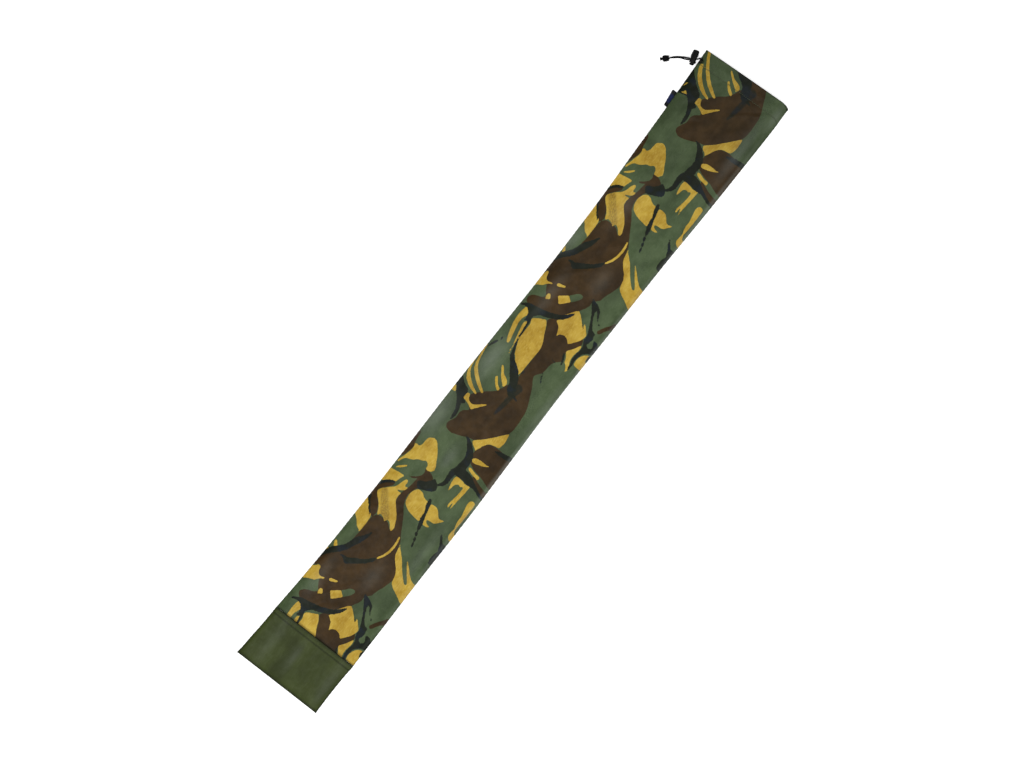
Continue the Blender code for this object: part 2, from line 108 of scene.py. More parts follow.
# -------------------------------------------------- the camouflage print, one repeat
# Outlines of the ink shapes as (across, along) in UNITs; strokes add their width.
REPEAT = 372.0
DRIFT = -1.0
TAN = [
 [(1.5,18),(2.5,23),(2.7,33),(3,43),(3.5,49),(3,55),(1,61),(-3,68),(-6,75),(-9.8,80.3),(-12,79),(-18,76),(-21.5,73.5),(-21.8,71),(-20,67),(-20.3,60),(-20,49),(-18,43),(-15,36.5),(-12.5,33),(-10,29.5),(-7.5,27),(-4.5,26),(-2.5,22.5)],
 [(-34,78.8),(-31,78),(-27,76.7),(-26.8,74),(-28.2,71),(-30,67),(-30.3,61),(-28.7,54),(-27,47),(-25.5,41),(-26,38.3),(-28,39),(-30,43),(-32.3,50),(-34.3,58),(-35.3,66),(-35,73)],
 [(-24,68),(-22.8,63),(-22.3,57),(-21.5,52),(-20.7,48),(-20.3,44),(-19,34),(-18.4,31),(-20,36),(-21.5,42),(-22.7,47),(-24,53),(-25.7,60),(-26.3,64.5)],
 [(10,107.6),(14,105),(20,99.5),(23.8,95.6),(23,100.8),(25,99),(31.5,92),(31,88.5),(29,83),(25.5,78.5),(21.8,73.8),(20,76),(17.5,78),(13.5,78.6),(9.5,77),(7.8,73.6),(6.5,77),(4.5,81.5),(2,83.5),(-1.8,86),(3,91),(8,98),(9,102)],
 [(9.5,107),(6,101.5),(2,95.8),(-1.8,91),(0.5,92.6),(5,98),(8.5,102)],
 [(34,82.4),(34.8,76),(33.4,70),(33.2,65),(34.5,60.5),(36.3,57),(38,53),(36.5,50),(34.5,54),(32.5,56.5),(30.5,57.5),(29.3,61),(27.8,63.5),(24.8,67.5),(30,74.5)],
 [(39.3,60.6),(38.3,66),(39.5,71.5),(42,75.3),(45,77.3),(48.3,77.7),(47,74),(48.5,70),(62,70),(62,60.6)],
 [(-62,99),(-45.5,99.5),(-42,102),(-38,103.5),(-34.5,105),(-32.5,108),(-30,110.3),(-27,111.8),(-27.6,113.2),(-32,111.6),(-34.5,112),(-36.8,115),(-37.3,118.5),(-39,120),(-41,119.5),(-42.5,117.5),(-45,115.5),(-62,114)],
 [(-24.8,102.3),(-22.5,103),(-20.5,100.5),(-19.4,98.6),(-22.5,97),(-23.5,95.8),(-24.9,98.5)],
 [(-6.8,113.2),(-5,111.6),(-1.3,108.9),(-5,104.8),(-10,99.7),(-12.5,103),(-15.6,106.2),(-11,109.8)],
 [(-23.6,115.2),(-22.4,113.2),(-18,115),(-14.6,116.8),(-15.2,118.6),(-18,117.8),(-22.5,116.7)],
 [(-62,203),(-43,202.5),(-40,200),(-37.5,198.4),(-36.5,195.4),(-34,194.6),(-33,192),(-30.2,191.8),(-28.8,189),(-28.3,183),(-28.5,174),(-28.5,169.6),(-30.5,172.3),(-33.5,173.3),(-35.5,175.5),(-37.5,178.3),(-40.5,180.5),(-43.5,182.5),(-62,184)],
 [(-43.4,150.6),(-40.5,149.6),(-38,147),(-36.3,145),(-39,143),(-41,144),(-43.4,148)],
 [(11,187.3),(14,182.5),(18,179),(22,175),(26,170),(30.5,164.5),(35,160),(39.5,156),(41.8,157.3),(39.5,160.8),(35,166),(31,171.3),(27,176.5),(26.4,178.2),(28.5,176.7),(33,172),(37,168),(41,164.7),(45,162.5),(62,160.5),(62,136),(48,139),(45,140.3),(40,143),(35,145.3),(31,147.5),(28.5,150),(27.6,154),(26.5,158.5),(23.5,163.5),(19,168),(15.5,172),(13.8,176),(12.8,180.5)],
 [(-62,241),(-43,240.5),(-38,241),(-34,242),(-27,242.5),(-28.5,239),(-29.8,235),(-30.3,232.3),(-34,231),(-37.5,229.5),(-40,227.5),(-41.5,225.5),(-43,225.5),(-62,225)],
 [(-24.8,237.5),(-23.5,240.6),(-21.4,241),(-20.5,238.5),(-20.6,235.3),(-19.6,233.6),(-18.3,235.4),(-17,234.3),(-18,231),(-20.8,228.9),(-24.6,227.2),(-23.8,226),(-21.5,226.6),(-19.2,227),(-19.8,222.5),(-19.3,218),(-15.5,213.5),(-11,208.5),(-7.5,204),(-5,199),(-3,194.5),(-3.6,190.4),(-5.5,191),(-8,194),(-10.5,196.8),(-13.5,197.7),(-15.6,193.4),(-17,195.8),(-20,197.2),(-23,197.8),(-24.6,194.6),(-26.2,197.2),(-28,201.5),(-31,205.5),(-35,209),(-38,212),(-39.7,215),(-37.5,218.5),(-34,222.5),(-30.5,225.8),(-28,228),(-26.2,232)],
 [(-12,230),(-11.5,234),(-10,238),(-7.5,240.4),(-4,240.6),(-1.5,239.8),(1,237.5),(4.5,236.3),(7.2,236.6),(9,231),(11,227),(12.2,222),(12.5,218),(12,215.2),(9,215.2),(4,216),(0,216.6),(-4,217.8),(-8,220),(-11,224)],
 [(11.4,236.6),(16,237.2),(19.5,236.2),(22,234),(24,231.5),(26.5,229.3),(28.5,229.5),(32.4,231),(31,228.5),(28.8,226.3),(27.5,224),(25,222.3),(21,222),(17.5,221.5),(17.8,219.5),(20,217.8),(25.2,217),(21,215.1),(17,215.1),(15.5,219),(14,223.5),(13.3,228),(11.8,232.5)],
 [(-43.5,250),(-41.5,249.6),(-40.5,251),(-38.5,255.5),(-36,258),(-32.5,259),(-30,260.5),(-27.5,263),(-25,264.5),(-22,265.2),(-19,267.8),(-16.5,266.5),(-15,264.5),(-14.6,261.2),(-13,260.6),(-9.5,261),(-8.3,262.5),(-6.6,264.5),(-7.5,268),(-10,272),(-12.5,276.5),(-14.5,280),(-17.5,284),(-20.5,287.5),(-23.5,290),(-26.5,290.4),(-30,288.5),(-31.8,286.5),(-32,282),(-32.5,277),(-34.5,274.8),(-37.5,275.5),(-39.4,274.6),(-38,272),(-37.8,268),(-39,262.5),(-40.5,257),(-42.5,252.5)],
 [(14,274),(17.5,274.2),(20.5,273.5),(23,273.5),(24.5,272.5),(28,272.8),(31.6,273.9),(31.5,269),(31,262),(30.3,255),(29.8,248),(29.8,241.6),(28.8,245),(28,250.6),(27,249.5),(26.8,243.8),(25.3,244.3),(24.8,247.5),(25.5,252),(26.5,258),(27,264),(26.8,268),(25.5,269.2),(23.5,267.3),(22,268.3),(20,268),(18,266),(17.3,262.5),(17,258.5),(16.2,257.4),(15.3,260.5),(14.3,264.5),(13.6,269)],
 [(40,258),(40.3,261.5),(42,263.5),(44.5,263.7),(46.8,262.5),(47.5,259),(47.3,252),(47.5,245),(47.2,238),(46.5,232),(47.5,228.5),(49.5,226),(62,225),(62,217),(48.5,218),(46,219.5),(44.3,222),(44.5,226),(45.2,231),(43.5,235.5),(42.8,240),(43,245),(41.8,250)],
 [(15.7,297.3),(18.5,299.9),(22,300.7),(27,300.9),(31,300.5),(34.8,301.6),(33.5,300),(31,298.8),(28,297),(25,296.2),(21,294.8),(17.5,294.6)],
 [(18.6,288.7),(20.5,289.3),(24,288.3),(28,287.3),(32.8,287),(33.8,285.5),(33.1,283.1),(30,283.9),(26,284.4),(22,285.4),(19.6,286.6)],
 [(30.4,339.6),(31.3,335),(32,330),(31.7,325.5),(30.5,321.6),(27,321),(24,320.3),(21,319.5),(18.5,317),(16.5,313.5),(15,309.5),(12.8,304.7),(11.5,307),(8,308.5),(5.2,311.5),(6.5,313.5),(10,316.5),(14,320.3),(18,325),(22,329.5),(26,334.5)],
 [(-28.3,346.8),(-25.4,347.1),(-24.3,343.5),(-22,341),(-18.5,340.3),(-15.5,341.3),(-12.5,343.8),(-9,347),(-5.4,349.4),(-5.2,348.2),(-8.5,344.5),(-11,341),(-13.5,338),(-15.3,335),(-18,336.5),(-21.5,338.2),(-25,339.5),(-28.7,339.8),(-28.8,343.5)],
 [(-18.8,390.4),(-16.5,389.8),(-14,387.5),(-12.5,385),(-10,383),(-7,381.8),(-4.5,380),(-2.7,377.5),(-3,374),(-4.5,372.2),(-6,374.5),(-9,377),(-11.5,379.5),(-14,383),(-16.5,386.5)],
 [(-16.3,377.7),(-14.4,378),(-12.5,375.3),(-10.5,372.8),(-8,370.6),(-5.3,369),(-5.1,366.7),(-7,366.3),(-9.5,368.3),(-12,370.5),(-14,373),(-15.8,375.5)],
 [(-62,139),(-43.6,139.3),(-42.2,138),(-42,136),(-43.6,134.6),(-62,134.5)],
 [(-62,341),(-43.5,339.5),(-38.2,340.3),(-40,342),(-42,344),(-44,345.5),(-62,346)],
 [(-15.8,407.4),(-14.6,405.2),(-14,406.6)],
]
TAN_STROKES = [
 [(6.6,190.8,1.4),(7.8,186,2.2),(8.2,180,2.4),(7.6,173,2.3),(5.5,166.5,2.2),(2.2,160.8,1.6)],
 [(-39.5,244.3,1.2),(-36,247,2.0),(-33,250,1.8),(-31.5,251.8,1.2)],
 [(-47,396,2.8),(-45.5,390,3.4),(-43.5,383,3.4),(-41,377,3.4),(-37.5,372,3.6),(-32.5,366.6,3.8),(-27.5,362.4,3.8),(-22,358.6,3.2),(-17.2,355.8,2.4)],
 [(-48.5,378,3.4),(-45.5,370.5,3.8),(-41.5,364,4.2),(-37,359.3,4.4),(-32,355.6,4),(-27,352.8,3.2),(-21.8,350.9,2)],
 [(-20,35,0.8),(-19,31,1.0)],
]
BROWN = [
 [(4,10),(3,20),(3.2,33),(3.5,48),(2,58),(-2,66),(-5.5,75),(-9.5,81),(-5,86),(0,88),(8,84),(24,84),(31,88),(34,82),(31,76),(25,67.5),(27,62),(29,59),(27.5,56),(24,53),(22,50),(20.5,46),(20.5,40),(19.5,35),(16.5,31.5),(14.5,28),(16.5,24),(20,19),(20,10)],
 [(-39.8,88),(-38.5,84),(-33,80.5),(-26,80),(-18,82),(-9,83.5),(0,89),(4,93),(8,99),(10,105.5),(12,109.5),(14.5,113.5),(16,118),(15.5,121.5),(18,125),(21,128),(21.5,134),(-62,134),(-62,118.5),(-45,116.5),(-41,120.5),(-38,119.5),(-36.5,114),(-33,112),(-30,106),(-27.5,102),(-24.5,98.5),(-27.5,95.3),(-32,93.8),(-36,92)],
 [(-62,130),(-40,130),(21,130),(23,137),(25,141.5),(26.2,146),(27.5,150),(27.8,154),(26.5,159),(23.5,164),(19,168.3),(15.5,172.3),(13.5,176.5),(12.5,181),(10.5,187.5),(6.5,193.5),(3.5,198.5),(0,204.5),(-4,211),(-6.5,214.5),(-9.5,218.5),(-12,224),(-12.8,230),(-11.5,235.5),(-10,239.5),(-6,243),(-4,250),(-2,257),(-6,260),(-12,261.5),(-15,261),(-13,257),(-14,252),(-15.5,247),(-16,241),(-17,235),(-19,229),(-19.5,222),(-18,215.5),(-12,209),(-6,201),(-3.5,194),(-5,190),(-12,196),(-24,196),(-28,190),(-28.3,180),(-28.3,171),(-29,163),(-29.5,155),(-31,149.5),(-36,144),(-40,139),(-43,135)],
 [(-62,203),(-43,202.5),(-36,196.5),(-31,191.5),(-28,190),(-26,196),(-30,204),(-39,212.6),(-39.8,216),(-37,219.6),(-33,224.2),(-30,228),(-30.4,232.5),(-36,229.8),(-41,225),(-43.5,222),(-62,222)],
 [(-62,256),(-42.5,256),(-40,262),(-38.3,268),(-38.3,273),(-40,275.5),(-41,281),(-42,288),(-62,290)],
 [(-24.6,244.8),(-21,246.3),(-17,249.5),(-13.5,253.5),(-11,256.5),(-11.5,251),(-15,248),(-19,245.5)],
 [(37,102),(39,100),(41,101),(43.5,106),(46.5,110),(62,115),(62,121),(48,119),(45.5,115),(42,111),(39,106)],
 [(13,305),(15,309.5),(16.5,313.8),(18.5,317),(21,319),(25,320.2),(30,320.8),(35,320.5),(62,318),(62,282),(46,283.5),(40,285.5),(36,287),(34,287.5),(28,288.3),(22,290),(18,292),(15,296),(13.5,301)],
 [(27,285),(33,282.5),(40,280),(47,278.5),(62,277.5),(62,271),(44,273),(38,275.5),(33,277.5),(28,279)],
 [(-26.4,310.5),(-24.5,306.8),(-21,305.2),(-17,305),(-12,306.5),(-7,308.5),(-3,310.3),(1,312),(5.5,313),(10,316.8),(14,320.5),(18,325),(22,329.8),(26,334.8),(30,339),(31,345),(31,352),(30.5,358),(30,364),(28.5,370),(26,376),(23.5,381),(21.5,386),(19,391),(15.5,396),(13.6,400),(15.5,403.5),(18.5,407),(19.5,412),(19,418),(12,420),(6,410),(3.5,395),(2,388),(1.5,380),(-2.5,376),(-4,371),(-6.5,366),(-10,362.3),(-14,359.5),(-18,355.5),(-22,351.3),(-24.8,348),(-24.8,343),(-20,338),(-16,334),(-21,330.5),(-23,326),(-22,320.5),(-24,316.5)],
]
BLACK = [
 [(-36,79),(-33,82),(-27,84),(-20,83),(-17.5,80),(-21.5,76),(-23.5,71),(-25,66),(-27.2,69),(-28,74),(-31,77.5)],
 [(14,125.4),(17,124.5),(21,123.5),(25,121.5),(28,119),(29.5,115),(31.5,111.5),(33.4,109.4),(31,110),(28.5,113),(25.5,117.5),(23.5,118),(24.5,113.5),(27.5,107.5),(30.5,103),(33.5,99.5),(37.5,98.8),(38,95),(39,92.5),(38,88),(37,85),(38.5,83.5),(41.5,82.8),(44,85.5),(42.5,88.5),(40.5,91.8),(42,93),(46,92.5),(48.5,90),(62,91),(62,79),(47.5,79.5),(43,78),(39.5,74),(38,69),(38,63),(38.5,60),(38,53),(36.4,53),(36,60),(34.5,64),(34,70),(35.5,76),(35,82),(33,84.5),(31.7,88.5),(32,93),(29.5,98),(27,103.5),(24,109),(20.5,114.5),(17,119.5),(15,122)],
 [(47,76.5),(49,78),(62,78),(62,71),(48.5,71.5),(47.2,73.5)],
 [(-1,259),(3,256.5),(6,253),(6.8,250),(5,247),(2,245),(-2,243.5),(-6,241.5),(-9.5,240.5),(-12,243),(-13.5,246.5),(-11,249),(-7,250.5),(-4,254)],
 [(9,285),(14,284),(20,284.5),(26,283),(30,281),(33,279),(38,276.5),(43,274),(48,272.5),(62,272),(62,269),(45,270),(40,272),(36,273.5),(31,273.3),(26,273),(22,274.3),(16,274),(12,273.8),(10,277)],
 [(43.5,212),(46,207),(46.5,203),(44.5,199),(44,193),(45,188),(48,187),(62,187),(62,212)],
 [(-62,357),(-43,357),(-38,353.5),(-34,351.5),(-30,350),(-28.3,347),(-28.8,343),(-28.5,340),(-25,338.5),(-24,336.5),(-27,334),(-25,329),(-23.5,322),(-24.5,316),(-26,314),(-27,320),(-28,326),(-31,332),(-34,336.5),(-38,340.5),(-40.5,343),(-43,346),(-62,348)],
]
BLACK_STROKES = [
 [(-42,77.3,1.4),(-37,79.5,3.2),(-32,81,5),(-26,81.2,6.5),(-20,82.6,6.5),(-12,84.8,6),(-5,88,5.2),(1,91.5,4.6),(5.5,96.5,3.8),(8.4,101.2,1.8)],
 [(-25,79,6),(-25,75,4.5),(-25.5,71,3),(-27,67,1.5)],
 [(-24,73,3),(-22.7,69,2.4),(-21.8,62,2.2),(-21,55,2),(-21,49.5,1.4)],
 [(-21.5,419.5,1.6),(-20,414,2.2),(-18,408,2.6),(-16,403,4.2),(-12.5,399,5),(-9,396,7),(-5,392,9),(-0.5,386.5,9),(2.5,381,8),(4,376,9),(6,372.5,7),(10,371.5,3),(15,370,1.4)],
 [(20.3,100.3,0.8),(23,97,1.6),(24.9,95.1,0.8)],
 [(34.8,108.4,1.8),(35.2,107.6,1.6)],
 [(-45,130,3),(-42.5,136,6),(-38,141,6.5),(-33,146,6),(-29.5,151,6),(-27,157,6),(-24.5,163,7),(-21.5,168,5),(-19.5,173,3),(-18,177,1.5)],
 [(-29,141,1.5),(-25,141.5,3),(-21,140,6.5),(-16,143.5,6),(-10,147.5,5),(-5,151.5,4),(-1,156,4),(1,159.5,2)],
 [(-43.5,206,4),(-40.5,201.5,2.6),(-36.8,198,1.9),(-35.2,195,1.7),(-32.6,193.2,2),(-31.2,190.6,1)],
 [(8,239,2.6),(9,236,4.2),(10,232,3.8),(11.5,228,3.4),(12,226,2.2),(12.6,223.5,3.2),(13.5,219,4.4),(15,214,4.2),(16.1,210,3.4),(16.9,207,1.2)],
 [(17.2,205.6,1.8),(17.9,203.4,3),(18.6,201.6,1.6)],
 [(19.3,199.8,2),(20,197.8,2.8),(20.6,196.2,1.4)],
 [(21,194.4,1.8),(21.6,192.2,2.2),(22.2,190.4,1.2)],
 [(-3.5,311.8,1.0),(1,310.3,3),(5,307,5),(9,302.5,6.5),(12.5,297,8),(13.5,291,8),(13,285,9),(12,280,8),(9,275,6.5),(9,269,5.5),(9.5,263,4.5),(8,259,4),(5.5,256,2.5)],
 [(38.3,218.8,1.2),(41,214.5,2.6),(44,210.5,3),(46,206,3),(48.5,203,3.5)],
 [(30,317,1.5),(35,318,4),(40,318.5,5),(46,319.5,5),(60,320,5)],
 [(-43,396,1.5),(-41,400,3),(-38.5,403.5,3),(-37,406,1.5)],
 [(-35.2,411.5,1.8),(-34.8,409.6,1.8)],
 [(-47,119,2),(-46.5,127,3),(-46,134,3)],
 [(24,436,2),(26.5,431,2.2),(28,425.5,1.4)],
 [(19,408,0.8),(20.5,404,1.5),(23.2,398.6,1.2)],
 [(-45,220,3),(-41,224.5,3.2),(-36,229,3),(-32,231.3,2.4),(-30.3,232.4,1.0)],
 [(17,427,0.8),(19.5,423.5,1.2),(22.5,424,0.8)],
]
GREEN_OVER = [
 [(-6.8,113.4),(-4,116),(-1.5,119.5),(2,121.5),(5,121),(5.5,118.5),(3.5,114.5),(0.5,111),(-1.5,108.6),(-4,110.8)],
 [(-27,334),(-25,331.5),(-22,329.5),(-19,332),(-18,335.5),(-21,338),(-24,336.5)],
]
SHADE = [
 [(9,380,10),(8.5,374,7),(8.3,368,5.4),(7.4,360,5),(6.6,352,4),(5.6,346,2)],
 [(-6,388,3),(-1,393,4),(3,397,3)],
]
GRAIN = [
 [(24,404,4),(28,387,7),(31.5,372,6.5),(34.3,357.5,6),(36.3,342.5,3)],
 [(-6,300,4),(-8,290,6),(-5,281,4)],
 [(30,196,4),(33,186,6),(37,176,5),(41,170,3)],
]
DRY = [
 [(-37.5,221),(-34,223),(-29.5,219.5),(-25,213.5),(-20.5,208.5),(-16,203.5),(-12.5,199),(-14,195.5),(-17,193.8),(-21,196),(-26,201.5),(-31,208.5),(-35.5,215)],
 [(-28,188),(-25,186),(-22,180),(-21,172),(-22,166),(-26,164),(-28.4,170)],
]


# ------------------------------------------------------------------- geometry
def slopes(x, y):
    step = np.diff(y) / np.diff(x)
    a, b = step[:-1], step[1:]
    same = a * b > 0
    out = np.zeros(len(x))
    out[1:-1] = np.where(same, 2 * a * b / np.where(same, a + b, 1.0), 0.0)
    return out


SLOPES = [slopes(STATIONS[:, 0], STATIONS[:, c]) for c in range(4)]


def edges(x):
    """Left edge, right edge and crown height at x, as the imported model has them."""
    xs = STATIONS[:, 0]
    q = np.clip(np.asarray(x, float), xs[0], xs[-1])
    i = np.clip(np.searchsorted(xs, q, side="right") - 1, 0, len(xs) - 2)
    h = xs[i + 1] - xs[i]
    t = (q - xs[i]) / h
    out = []
    for c in (1, 2, 3):
        y, m = STATIONS[:, c], SLOPES[c]
        out.append((2 * t**3 - 3 * t**2 + 1) * y[i] + (t**3 - 2 * t**2 + t) * h * m[i]
                   + (-2 * t**3 + 3 * t**2) * y[i + 1] + (t**3 - t**2) * h * m[i + 1])
    return out


def smooth(value, low, high):
    t = np.clip((value - low) / (high - low), 0.0, 1.0)
    return t * t * (3 - 2 * t)


def skewed(x, y):
    weight = np.clip((x - SLANT_FROM_X) / (MOUTH_X - SLANT_FROM_X), 0.0, 1.0)
    return x + weight * MOUTH_SLANT * y


def arch(x, angle, inset=0.0):
    """Points of the front layer's section; angle 0 is the left seam."""
    left, right, crown = edges(x)
    middle, half = (left + right) / 2, (left - right) / 2
    c, s = np.cos(angle), np.sin(angle)
    y = middle + (half - inset) * np.sign(c) * np.abs(c) ** (2 / ARCH)
    z = SEAM_Z + np.maximum(crown - SEAM_Z - inset, 0.0) * np.abs(s) ** (2 / ARCH)
    return np.stack([skewed(x, y), y, z + 0 * y], -1)


def chance(u, v, seed):
    """Smooth noise from -1 to 1, one cell to a unit of u and v."""
    iu, iv = np.floor(u), np.floor(v)
    fu, fv = u - iu, v - iv
    fu, fv = fu**3 * (fu * (fu * 6 - 15) + 10), fv**3 * (fv * (fv * 6 - 15) + 10)

    def at(a, b):
        n = np.sin(a * 12.9898 + b * 78.233 + seed * 37.719) * 4375.8547
        return (n - np.floor(n)) * 2 - 1

    low = at(iu, iv) * (1 - fu) + at(iu + 1, iv) * fu
    high = at(iu, iv + 1) * (1 - fu) + at(iu + 1, iv + 1) * fu
    return low * (1 - fv) + high * fv


def make(name, verts, faces, material, values=None, flat=False):
    mesh = bpy.data.meshes.new(name)
    mesh.from_pydata(np.asarray(verts, float).tolist(), [], faces)
    if not flat:
        mesh.shade_smooth()
    for key, data in (values or {}).items():
        layer = mesh.attributes.new(key, "FLOAT", "POINT")
        layer.data.foreach_set("value", np.asarray(data, np.float32).ravel())
    mesh.materials.append(material)
    obj = bpy.data.objects.new(name, mesh)
    bpy.context.scene.collection.objects.link(obj)
    return obj


def grid_faces(n, m, start=0, turned=False, wrap=False):
    i, j = np.meshgrid(np.arange(n - 1), np.arange(m if wrap else m - 1), indexing="ij")
    a, b = start + i * m + j, start + i * m + (j + 1) % m
    c, d = b + m, a + m
    quads = np.stack([a, d, c, b] if turned else [a, b, c, d], -1).reshape(-1, 4)
    return quads.tolist()


def outward(points):
    """Unit normals of a grid of points: across, then along."""
    di, dj = np.gradient(points, axis=0), np.gradient(points, axis=1)
    n = np.cross(dj, di)
    return n / np.maximum(np.linalg.norm(n, axis=-1, keepdims=True), 1e-12)


def cloth(name, points, material, values, thickness=SKIN):
    """A grid of points, outer face first, made into a thin closed piece of cloth."""
    n, m = points.shape[:2]
    inner = points - outward(points) * thickness
    verts = np.concatenate([points.reshape(-1, 3), inner.reshape(-1, 3)])
    faces = grid_faces(n, m) + grid_faces(n, m, n * m, turned=True)
    a = np.arange(n * m).reshape(n, m)
    for line, flip in ((a[0], False), (a[-1], True), (a[:, 0], True), (a[:, -1], False)):
        for p, q in zip(line[:-1].tolist(), line[1:].tolist()):
            faces.append([q, p, p + n * m, q + n * m] if flip else [p, q, q + n * m, p + n * m])
    both = {k: np.concatenate([np.ravel(v), np.ravel(v)]) for k, v in values.items()}
    both["reverse"] = np.concatenate([np.zeros(n * m), np.ones(n * m)])
    return make(name, verts, faces, material, both)


def frames(points):
    """Tangent and two normals along a line, carried along without twist."""
    t = np.gradient(points, axis=0)
    t /= np.maximum(np.linalg.norm(t, axis=1, keepdims=True), 1e-12)
    n = np.zeros_like(t)
    start = np.array((0.0, 0.0, 1.0)) if abs(t[0, 2]) < 0.9 else np.array((1.0, 0.0, 0.0))
    last = start
    for k in range(len(t)):
        last = last - last.dot(t[k]) * t[k]
        last = last / np.linalg.norm(last)
        n[k] = last
    return t, n, np.cross(t, n)


def sweep(points, radius, sides=12, swell=None, caps=True, squash=1.0):
    """A tube round a line. swell(distance, angle) is a share of its radius added to it."""
    points = np.asarray(points, float)
    _, n, b = frames(points)
    a = np.linspace(0, 2 * np.pi, sides, endpoint=False)
    d = np.concatenate([[0], np.cumsum(np.linalg.norm(np.diff(points, axis=0), axis=1))])
    r = np.broadcast_to(np.asarray(radius, float).reshape(-1, 1), (len(points), sides))
    if swell is not None:
        r = r * (1 + swell(d[:, None], a[None, :]))
    ring = (np.cos(a)[None, :, None] * n[:, None, :] * squash
            + np.sin(a)[None, :, None] * b[:, None, :])
    verts = (points[:, None, :] + r[..., None] * ring).reshape(-1, 3)
    faces = grid_faces(len(points), sides, turned=False, wrap=True)
    if caps:
        faces.append(list(range(sides))[::-1])
        faces.append([(len(points) - 1) * sides + k for k in range(sides)])
    return verts, faces


def join(parts):
    verts, faces, count = [], [], 0
    for v, f in parts:
        verts.append(v)
        faces += [[k + count for k in face] for face in f]
        count += len(v)
    return np.concatenate(verts), faces


def spline(knots, step):
    """Points every step along a smooth line through the knots."""
    k = np.asarray(knots, float)
    e = np.concatenate([[2 * k[0] - k[1]], k, [2 * k[-1] - k[-2]]])
    fine = []
    for a, b, c, d in zip(e, e[1:], e[2:], e[3:]):
        t = np.linspace(0, 1, 40, endpoint=False)[:, None]
        fine.append(0.5 * (2 * b + (c - a) * t + (2 * a - 5 * b + 4 * c - d) * t**2
                           + (3 * b - a - 3 * c + d) * t**3))
    fine = np.concatenate([*fine, k[-1:]])
    run = np.concatenate([[0], np.cumsum(np.linalg.norm(np.diff(fine, axis=0), axis=1))])
    at = np.linspace(0, run[-1], max(2, int(round(run[-1] / step)) + 1))
    return np.stack([np.interp(at, run, fine[:, c]) for c in range(3)], -1)


# -------------------------------------------------------------------- the print
def rounded(outline):
    p = np.array(outline, float)
    for _ in range(2):
        q = np.roll(p, -1, 0)
        p = np.stack([0.85 * p + 0.15 * q, 0.15 * p + 0.85 * q], 1).reshape(-1, 2)
    return p


def inside_distance(v, u, outline):
    """Distance to an outline, less than nothing inside it."""
    p = rounded(outline)
    near, within = np.full(v.shape, 1e9), np.zeros(v.shape, bool)
    for (ax, ay), (bx, by) in zip(p, np.roll(p, -1, 0)):
        ex, ey = bx - ax, by - ay
        t = np.clip(((v - ax) * ex + (u - ay) * ey) / (ex * ex + ey * ey + 1e-12), 0, 1)
        near = np.minimum(near, (v - ax - t * ex) ** 2 + (u - ay - t * ey) ** 2)
        if ey:
            within ^= ((ay > u) != (by > u)) & (v < ex * (u - ay) / ey + ax)
    return np.where(within, -1.0, 1.0) * np.sqrt(near)


def stroke_distance(v, u, stroke):
    near = np.full(v.shape, 1e9)
    for (ax, ay, aw), (bx, by, bw) in zip(stroke, stroke[1:]):
        ex, ey = bx - ax, by - ay
        t = np.clip(((v - ax) * ex + (u - ay) * ey) / (ex * ex + ey * ey + 1e-12), 0, 1)
        near = np.minimum(near, np.hypot(v - ax - t * ex, u - ay - t * ey)
                          - (aw + (bw - aw) * t) / 2)
    return near


def ink(v, u, shapes, strokes=(), reach=4.0):
    """Signed distance to one colour's shapes, in the print's units, over all repeats."""
    out = np.full(v.size, reach)
    v, u = v.ravel(), u.ravel()
    jobs = [(inside_distance, s) for s in shapes] + [(stroke_distance, s) for s in strokes]
    for k in range(-3, 4):
        vk, uk = v - k * DRIFT, u - k * REPEAT
        for rule, shape in jobs:
            box = np.array(shape, float)
            pad = reach + (box[:, 2].max() / 2 if rule is stroke_distance else 0)
            low, high = box.min(0)[:2] - pad, box.max(0)[:2] + pad
            at = np.flatnonzero((uk > low[1]) & (uk < high[1]) & (vk > low[0]) & (vk < high[0]))
            if len(at):
                out[at] = np.minimum(out[at], rule(vk[at], uk[at], shape))
    return out


def pulled(v, u):
    """Where the print lies once the hem has drawn the cloth aside near the mouth."""
    share = smooth(u, 640.0, 738.0) * (1 - smooth(u, 748.0, 768.0) * (1 - smooth(v, -13.0, 6.0)))
    aside = (3.9 + 2.3 * smooth(v, -30.0, 25.0)) * share
    return v - 0.78 * aside, u - 0.626 * aside


def printed(v, u):
    """The values that the camouflage material reads at each point of a cloth."""
    return {
        "ink_tan": ink(v, u, TAN, TAN_STROKES),
        "ink_brown": ink(v, u, BROWN),
        "ink_black": ink(v, u, BLACK, BLACK_STROKES),
        "ink_green": ink(v, u, GREEN_OVER),
        "ink_dry": ink(v, u, DRY),
        "ink_shade": ink(v, u, (), SHADE),
        "ink_grain": ink(v, u, (), GRAIN),
        "along": u * UNIT / MM,
        "across": v * UNIT / MM,
    }


# -------------------------------------------------------------------- materials
def srgb(r, g, b):
    """A colour given as 8-bit sRGB, as the shaders take it."""
    def line(c):
        c = c / 255
        return c / 12.92 if c <= 0.04045 else ((c + 0.055) / 1.055) ** 2.4
    return (line(r), line(g), line(b), 1.0)


